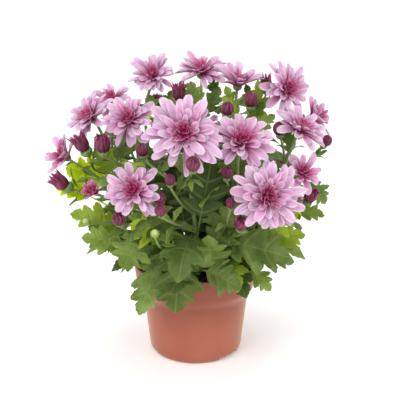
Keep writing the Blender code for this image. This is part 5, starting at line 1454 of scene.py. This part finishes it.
def petiole_rows(root, blade, ring):
    """A leaf's round stem as rings: it leaves its root straight and arrives along the blade's heading."""
    along, span = unit(blade.joint - root), np.linalg.norm(blade.joint - root)
    first, second = root + along * span * 0.45, blade.joint - blade.heading * span * 0.35
    bend = bezier(root, first, second, blade.joint, PETIOLE_ROWS)
    ways = unit(np.gradient(bend, axis=0))
    side = unit(blade.side - ways * (ways @ blade.side)[:, None])
    up = np.cross(side, ways)
    angle, size = evenly(ring), min(1.0, blade.width / FULL_LEAF_WIDTH)
    radius = np.linspace(1.15, 0.85, len(bend))[:, None, None] * PETIOLE_RADIUS * min(1.0, 0.4 + size)
    circle = side[:, None] * np.cos(angle)[None, :, None] + up[:, None] * np.sin(angle)[None, :, None]
    return (bend[:, None] + radius * circle)[:-1]


def add_leaf(surface, root, blade, fine, tone):
    """Add one leaf: its stem, then its blade, finer where it shows."""
    ring = LEAF_RING if fine else INNER_RING
    outline = rounded(blade.shape.fine, TOOTH_ROUND, 2) if fine else np.array(blade.shape.fine)
    stem, rows = petiole_rows(root, blade, ring), blade_rows(blade, outline, ring)
    angle, plain = evenly(ring), len(stem)
    half = np.concatenate((np.full(plain, 0.1), outline[:, 1]))[:, None]
    lobes = np.concatenate((np.zeros(plain), outline[:, 2]))[:, None]
    under = np.concatenate((np.full(plain, 0.5), np.ones(len(rows))))[:, None] * (np.sin(angle) < -0.1)
    surface.shells(
        np.concatenate((stem, rows))[None],
        across=0.5 + 0.5 * half * np.cos(angle), along=lobes, under=under, tone=tone,
    )


def leaf_tone_and_light(number, blade, shadow):
    """How lime, above 0, or dark, below it, a leaf is: as listed, or painted shade, darker the deeper inside.
    """
    if number in LEAF_AGE_AND_LIGHT:
        return LEAF_AGE_AND_LIGHT[number]
    x, y, z = blade.at(0.5, 0.0)
    depth = math.sqrt((x * x + y * y) / BUSH_RADIUS**2 + ((z - BUSH_MIDDLE) / BUSH_HEIGHT) ** 2)
    return shadow + max(-1.0, min(0.25, 1.8 * (depth - 0.85))) + 0.25 * math.sin(2.4 * number)


def cup_rows(head, end):
    """The green cup between a stalk's end and its head, or a whole green bud: a profile turned round."""
    height, radius, profile = cup_height(head), cup_radius(head), CUP_PROFILE
    if head.stage == "green":
        height = radius = head.width * MM / 2
        profile = GREEN_BUD_PROFILE
    spread, rise = smooth_rows(profile, 2).T
    return round_rows(end, head_frame(head.facing, 0), spread * radius, rise * height, CUP_RING)


def scales(head, end, turn):
    """Pointed green scales in two tiers round a cup, whose tips stand against the head.

    A scale's half width is a straight line that grows from foot to tip, times the square root of one
    less the share to the power 2.2, which closes it in a blunt point.
    """
    height, radius = cup_height(head), cup_radius(head)
    size, lean = SCALE_FORMS["flower" if STAGES[head.stage].layers else "bud"]
    if head.stage == "green":
        height = radius = head.width * MM / 2
        size, lean = SCALE_FORMS["green"]
    order = np.arange(2 * SCALES)
    tier = order // SCALES
    azimuth = np.radians(turn) + 2 * math.pi * order / SCALES + math.pi / SCALES * tier
    tier, share = tier[:, None], np.linspace(0, 1, SCALE_ROWS)[None]
    bend = np.interp(share + 0 * tier, (0, 0.35, 0.7, 1), (0.45, 0.92, 1.06, lean))
    radii = radius * size * bend + SCALE_OFF
    heights = height * size * (0.02 + 0.16 * tier + (1.0 + 0.42 * tier) * share)
    point = np.sqrt(np.clip(1 - share**2.2, 0.01, 1)) * (0.75 + 0.5 * share)
    halves = radius * size * 0.34 * point
    thick = np.full_like(halves, SCALE_THICK)
    directions = head_frame(head.facing, 0)
    return fronds(end, directions, azimuth, radii, heights, halves, thick, SCALE_TROUGH, 0.0, SCALE_RING)


def high_leaves(mains):
    """The listed leaves high up between the flowers."""
    for shoot, fork, joint, tip, width, arch, face in HIGH_LEAVES:
        blade = Blade(metres(joint), metres(tip), width * MM, arch, face, fork * 10, FILL_SHAPE)
        yield Sprout(shoot, path_point(mains[shoot], fork)[0], blade, False, 0.0)


def inner_leaves(mains, heads, draw):
    """Smaller leaves that fill the plant inside, where they are clear of heads, pot and soil.

    Each one rises from its root, then droops.
    """
    for order, shoot in enumerate(SHOOTS):
        for step in range(INNER_LEAVES):
            share = INNER_FROM + (INNER_TO - INNER_FROM) * (step + 0.5) / INNER_LEAVES
            root, _ = path_point(mains[shoot], share)
            way = math.radians((step + 3 * order) * GOLDEN_ANGLE)
            outward = np.array((math.cos(way), math.sin(way), 0.0))
            length = draw.uniform(*INNER_LENGTH) * (1 - INNER_SHORTER * (step / INNER_LEAVES) ** 2)
            rise = math.radians(draw.uniform(*INNER_RISE))
            droop = rise - math.radians(draw.uniform(*INNER_DROOP))
            joint = root + slanted(outward, rise) * draw.uniform(*INNER_STEM)
            tip = joint + slanted(outward, droop) * length
            face = turned(outward * FILL_FACE_OUT + (0.0, 0.0, 1.0), outward, draw.uniform(*INNER_ROLL))
            width = length * draw.uniform(*INNER_WIDTH)
            blade = Blade(joint, tip, width, FILL_ARCH, face, draw.uniform(0, 6), FILL_SHAPE)
            points = blade.samples()
            near = np.hypot(points[:, 0], points[:, 1]).max() < INNER_REACH and points[:, 2].max() < INNER_TOP
            if near and heads.room(points) > INNER_ROOM and pot_room(points) > INNER_ROOM_AT_POT:
                yield Sprout(shoot, root, blade, False, INNER_SHADOW)


def slips(sides, heads, draw):
    """Narrow slips of leaves along the side stalks, where they are clear of heads."""
    for number, route in sides.items():
        for place in draw.uniform(SLIP_FROM, SLIP_TO, SLIPS):
            root, along = path_point(route, place)
            way = unit(np.cross(along, draw.normal(size=3)))
            length = draw.uniform(*SLIP_LENGTH)
            joint = root + unit(along + way) * SLIP_STEM
            tip = joint + unit(along * SLIP_LEAN + way) * length
            phase = draw.uniform(0, 6)
            blade = Blade(joint, tip, length * SLIP_WIDTH, SLIP_ARCH, along - way, phase, SLIP_SHAPE)
            if heads.room(blade.samples()) > INNER_ROOM / 2:
                yield Sprout(HEADS[number].shoot, root, blade, False, SLIP_SHADOW)


def all_leaves(mains, sides, leaves):
    """The part's leaves, then those that only the dressed plant has."""
    draw, heads = np.random.default_rng(INNER_SEED), Clearance()
    for number, head in enumerate(HEADS):
        heads.add(f"head_{number}", *head_samples(head))
    found = [Sprout(*leaf, True, 0.0) for leaf in leaves]
    found += high_leaves(mains)
    found += inner_leaves(mains, heads, draw)
    found += slips(sides, heads, draw)
    return found


def add_stalk(surface, number, route):
    """Add a head's stalk with its green cup and scales; a main stalk starts down in the soil."""
    head, radii = HEADS[number], (SIDE_STALK_RADIUS, SIDE_STALK_TOP_RADIUS)
    if head.fork == 1.0:
        radii = (SHOOT_RADIUS, SHOOT_TOP_RADIUS)
        foot = np.array((*metres(SHOOTS[head.shoot]), SOIL_EDGE + SOIL_DOME - HOLE_DEPTH + GAP))
        route = np.concatenate((foot[None], route))
    path = smooth_rows(route, STALK_SMOOTHING)
    surface.shells(
        tube_rows(path, np.linspace(*radii, len(path)), STALK_RING, STALK_RIBS),
        across=np.arange(STALK_RING) / STALK_RING, along=np.linspace(0, 1, len(path))[:, None], tone=0.0,
    )
    green = head.stage == "green"
    cup_tone, scale_tone = (GREEN_CUP_TONE, GREEN_SCALE_TONE) if green else (CUP_TONE, SCALE_TONE)
    cup, around = cup_rows(head, route[-1]), scales(head, route[-1], number * GOLDEN_ANGLE)
    surface.shells(cup, across=np.arange(CUP_RING) / CUP_RING, along=0.9, tone=cup_tone)
    surface.shells(around, across=0.5, along=1.0, tone=scale_tone)


def make_shoots(mains, sides, leaves):
    """Every shoot: its stalks with their cups and scales as one piece, and its leaves as another."""
    green, leafy = stalk_finish(), leaf_finish()
    for shoot in SHOOTS:
        stems, blades = Surface(), Surface()
        for number, head in enumerate(HEADS):
            if head.shoot == shoot:
                add_stalk(stems, number, mains[shoot] if head.fork == 1.0 else sides[number])
        for number, leaf in enumerate(leaves):
            if leaf.shoot == shoot:
                tone = leaf_tone_and_light(number, leaf.blade, leaf.shadow)
                add_leaf(blades, leaf.root, leaf.blade, leaf.fine, tone)
        node = f"shoot_{shoot}"
        stems.piece(f"{node}_stalks", green, "leaves_and_stalks", node)
        blades.piece(f"{node}_leaves", leafy, "leaves_and_stalks", node)


# Flowers and buds


def one_each(draw, count):
    """A function that draws a number between two ends for each petal of a ring."""
    return lambda low, high: draw.uniform(low, high, count)[:, None]


def add_petals(surface, points, share, tone, tint, under):
    """Add petals with their own map, tone and tint; their undersides are marked."""
    turn = evenly(PETAL_RING)
    surface.shells(
        points,
        across=0.5 + 0.5 * np.cos(turn), along=share[..., None], tone=tone[..., None],
        tint=tint[..., None], under=(np.sin(turn) < -0.1) * under,
    )


def middle_line(share, length, tilt):
    """How far out and how far up a petal has gone at each share: the sums of its steps, each at its tilt."""
    step, lean = np.diff(share) * length, (tilt[:, :-1] + tilt[:, 1:]) / 2
    start = np.zeros((len(tilt), 1))
    out = np.concatenate((start, np.cumsum(np.cos(lean) * step, axis=1)), axis=1)
    up = np.concatenate((start, np.cumsum(np.sin(lean) * step, axis=1)), axis=1)
    return out, up


def flower_surface(head, number):
    """A flower: a dome with rings of petals, the outer ones spread and bent back, the inner ones upright.

    A petal rises from its ledge on the dome and bends evenly along its length. Its half width grows in a
    smooth step over most of the length, then closes in a blunt round tip.
    """
    draw = np.random.default_rng(FLOWER_SEED + number)
    directions, base = head_frame(head.facing, number * GOLDEN_ANGLE), seat(head)
    core, blush = core_radius(head), 0.0
    if head.stage == "half":
        core, blush = core * HALF_OPEN_CORE, max(0.0, (BLUSH_BELOW - head.width) / 10)
    level = np.radians(DOME_LEVELS)
    surface = Surface()
    dome = round_rows(base, directions, core * np.cos(level), core * DOME_HEIGHT * np.sin(level), DOME_RING)
    surface.shells(dome, across=0.5, along=0.0, tone=1.0, tint=0.0, under=0.0)
    rings, longest, shortest = PETAL_RINGS[head.stage], reach(head), SHORTEST_PETAL[head.stage]
    widest = min(PETAL_HALF[head.stage], PETAL_BROADEST * longest)
    share = 1 - (1 - np.linspace(0, 1, PETAL_ROWS)[None]) ** 1.6
    growth = np.clip(share / PETAL_WIDEST_AT, 0, 1)
    growth = 0.38 + 0.62 * growth * growth * (3 - 2 * growth)
    tip = np.sqrt(np.clip(1 - np.clip((share - PETAL_WIDEST_AT) / 0.302, 0, 1) ** 2.4, 0.0, 1))
    for order, ring in enumerate(rings):
        vary = one_each(draw, ring.count)
        place = np.arange(ring.count) + 0.5 * (order % 2) + vary(*PETAL_PLACE)[:, 0]
        steeper = (head.cup + BLUSH_RISE * blush) * (1 - ring.rise / 90)
        rise = np.radians(ring.rise + steeper + vary(*PETAL_RISE))
        length = longest * ring.reach * (1 - BLUSH_SHORTER * blush) * vary(shortest, LONGEST_PETAL)
        tilt = rise + np.radians(ring.bend + vary(*PETAL_BEND)) * (0.5 - share) * 1.1
        out, up = middle_line(share, length, tilt)
        ledge = math.radians(LEDGE_TOP * order / (len(rings) - 1))
        radii = core * 0.92 * math.cos(ledge) + out
        heights = core * (0.1 + 0.7 * math.sin(ledge)) + up
        halves = widest * ring.width * vary(*PETAL_WIDTH) * growth * tip + PETAL_TIP
        thick = PETAL_THICK / 2 * (0.35 + 0.65 * tip) * (0.6 + 0.4 * ring.width)
        trough = (0.9 - 0.5 * share) * vary(*PETAL_TROUGH)
        roll = np.radians(vary(*PETAL_ROLL) + vary(*PETAL_TWIST) * share)
        sway = length * vary(*PETAL_SWAY) * share**2
        azimuth = 2 * math.pi * place / ring.count
        points = fronds(
            base, directions, azimuth, radii, heights, halves, thick, trough, roll, PETAL_RING, sway
        )
        tone = np.clip(ring.tone + BLUSH_TONE * blush + vary(*PETAL_TONE), 0, 1)
        add_petals(surface, points, share, tone, vary(0, 1), 1.0)
    return surface


def egg(height):
    """Half width of a bud's egg at a height, both in half widths of the bud: a circle stretched upwards."""
    return np.sqrt(np.clip(1 - ((height - EGG_MIDDLE) / EGG_HALF_HEIGHT) ** 2, 0.02, 1))


def bud_surface(head, number):
    """A bud: an egg wrapped in petals that overlap.

    They follow it up to the top, or leave it a little above its middle and part in a crown of points.
    """
    draw = np.random.default_rng(BUD_SEED + number)
    directions, base = head_frame(head.facing, number * GOLDEN_ANGLE), seat(head)
    half, kind = head.width * MM / 2, head.stage
    if kind == "bud" and head.width >= PARTING_WIDTH:
        kind = "parting"
    parted, round_part, inside = BUD_FORMS[kind]
    height, surface = np.linspace(0.05, inside, BUD_CORE_ROWS), Surface()
    width = BUD_CORE * round_part * egg(height)
    core = round_rows(base, directions, half * width, half * height, BUD_CORE_RING)
    surface.shells(core, across=0.5, along=0.0, tone=1.0, tint=0.0, under=0.0)
    share = 1 - (1 - np.linspace(0, 1, PETAL_ROWS)[None]) ** 1.4
    pointed = np.interp(share, BUD_PETAL_AT, BUD_PETAL_HALF)
    for count, inset, top, shift, wide, flare in BUD_TIERS[kind]:
        vary = one_each(draw, count)
        azimuth = 2 * math.pi * (np.arange(count) + shift + vary(*BUD_PLACE)[:, 0]) / count
        rise = BUD_PETAL_FOOT + (top * vary(*BUD_TOP) - BUD_PETAL_FOOT) * share
        round_here = egg(np.minimum(rise, EGG_TOP))
        climb = np.clip((rise - PARTING_FROM) / 1.2, 0, 1)
        spread = 1.0 - 0.06 * np.sin(math.pi * climb) + flare * vary(*BUD_FLARE) * climb**1.4
        away = parted * np.where(rise < PARTING_FROM, 0.0, spread - round_here)
        radii = half * round_part * (round_here + away + inset)
        halves = half * math.pi / count * wide * np.maximum(radii / half, 0.3) * pointed + BUD_PETAL_TIP
        thick = BUD_PETAL_THIN + BUD_PETAL_THICKER * pointed
        roll = np.radians(BUD_PETAL_ROLL + vary(*BUD_ROLL))
        sway = half * vary(*BUD_SWAY) * share**2
        radii, heights = np.maximum(radii, 0.0001), rise * half
        points = fronds(
            base, directions, azimuth, radii, heights, halves, thick, BUD_PETAL_TROUGH, roll, PETAL_RING, sway
        )
        add_petals(surface, points, share, vary(*BUD_TONE), vary(0, 1), BUD_UNDER)
    return surface


def make_heads():
    """Every flower and every coloured bud."""
    petals = petal_finish("petal_pink", PETAL_COLOURS)
    buds = petal_finish("bud_burgundy", BUD_COLOURS)
    counts = {}
    for number, head in enumerate(HEADS):
        if head.stage == "green":
            continue
        kind = "bud" if head.stage in ("bud", "opening") else "bloom"
        key = f"{kind}_{head.shoot}"
        counts[key] = counts.get(key, 0) + 1
        name = f"{key}_{counts[key]}"
        if kind == "bud":
            bud_surface(head, number).piece(f"{name}_petals", buds, "bud_petals", name)
        else:
            flower_surface(head, number).piece(f"{name}_petals", petals, "petals", name)


# The stage


def make_floor():
    """A pale round floor that curves up at its edge to a low wall on every side."""
    turn = np.radians(np.linspace(-90, 0, 13))
    bend = np.stack((STAGE_RADIUS + STAGE_BEND * np.cos(turn), STAGE_BEND + STAGE_BEND * np.sin(turn)), -1)
    profile = np.concatenate((((STAGE_MIDDLE, 0.0),), bend, ((STAGE_RADIUS + STAGE_BEND, STAGE_WALL),)))
    points = turned_rows(profile, evenly(STAGE_RING)).reshape(-1, 3)
    faces = [list(range(STAGE_RING))] + ring_quads(len(profile), STAGE_RING)[:, [0, 3, 2, 1]].tolist()
    mesh = plain_mesh("floor", points, faces)
    mesh.shade_smooth()
    white = (1.0, 1.0, 1.0, 1.0)
    paper = Finish(
        "pale_floor", Roughness=0.9, Specular_IOR_Level=0.1, Emission_Color=white, Emission_Strength=0.16,
    )
    pale, paler = shade(250, 250, 250), shade(252, 252, 252)
    mesh.materials.append(paper.colour(paper.mix(paper.noise(3.0), pale, paler)))
    in_scene("floor", mesh)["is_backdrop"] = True


def make_light():
    """Soft studio light: a white surround and three round lamps."""
    world = bpy.data.worlds.new("studio")
    bpy.context.scene.world = world
    world.use_nodes = True
    surround = world.node_tree.nodes["Background"].inputs
    surround["Color"].default_value, surround["Strength"].default_value = (1.0, 1.0, 1.0, 1.0), WORLD_STRENGTH
    for name, place, size, power in LAMPS:
        lamp = bpy.data.lights.new(name, "AREA")
        lamp.shape, lamp.size, lamp.energy = "DISK", size, power
        x, y, z = np.array((0, 0, LAMP_AIM)) - np.array(place)
        in_scene(name, lamp, place, (math.atan2(math.hypot(x, y), -z), 0, math.atan2(x, -y) + math.pi))


def make_camera():
    """The camera in front of the plant, looking a little down."""
    camera = bpy.data.cameras.new("camera")
    camera.sensor_width, camera.lens = SENSOR, FOCAL_PIXELS * SENSOR / PICTURE
    camera.shift_x = CAMERA_SHIFT
    turn = (math.radians(90 - CAMERA_PITCH), 0, 0)
    bpy.context.scene.camera = in_scene("camera", camera, (0, -CAMERA_AWAY, CAMERA_HEIGHT), turn)
    bpy.context.scene.view_settings.view_transform = "Standard"


make_floor()
make_light()
make_camera()
make_pot()
make_soil()
mains, sides, leaves = lay_out()
make_shoots(mains, sides, all_leaves(mains, sides, leaves))
make_heads()

boxes = {"cad": cad_box, "visual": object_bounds()}
{name: [list(corner) for corner in box] for name, box in boxes.items()}
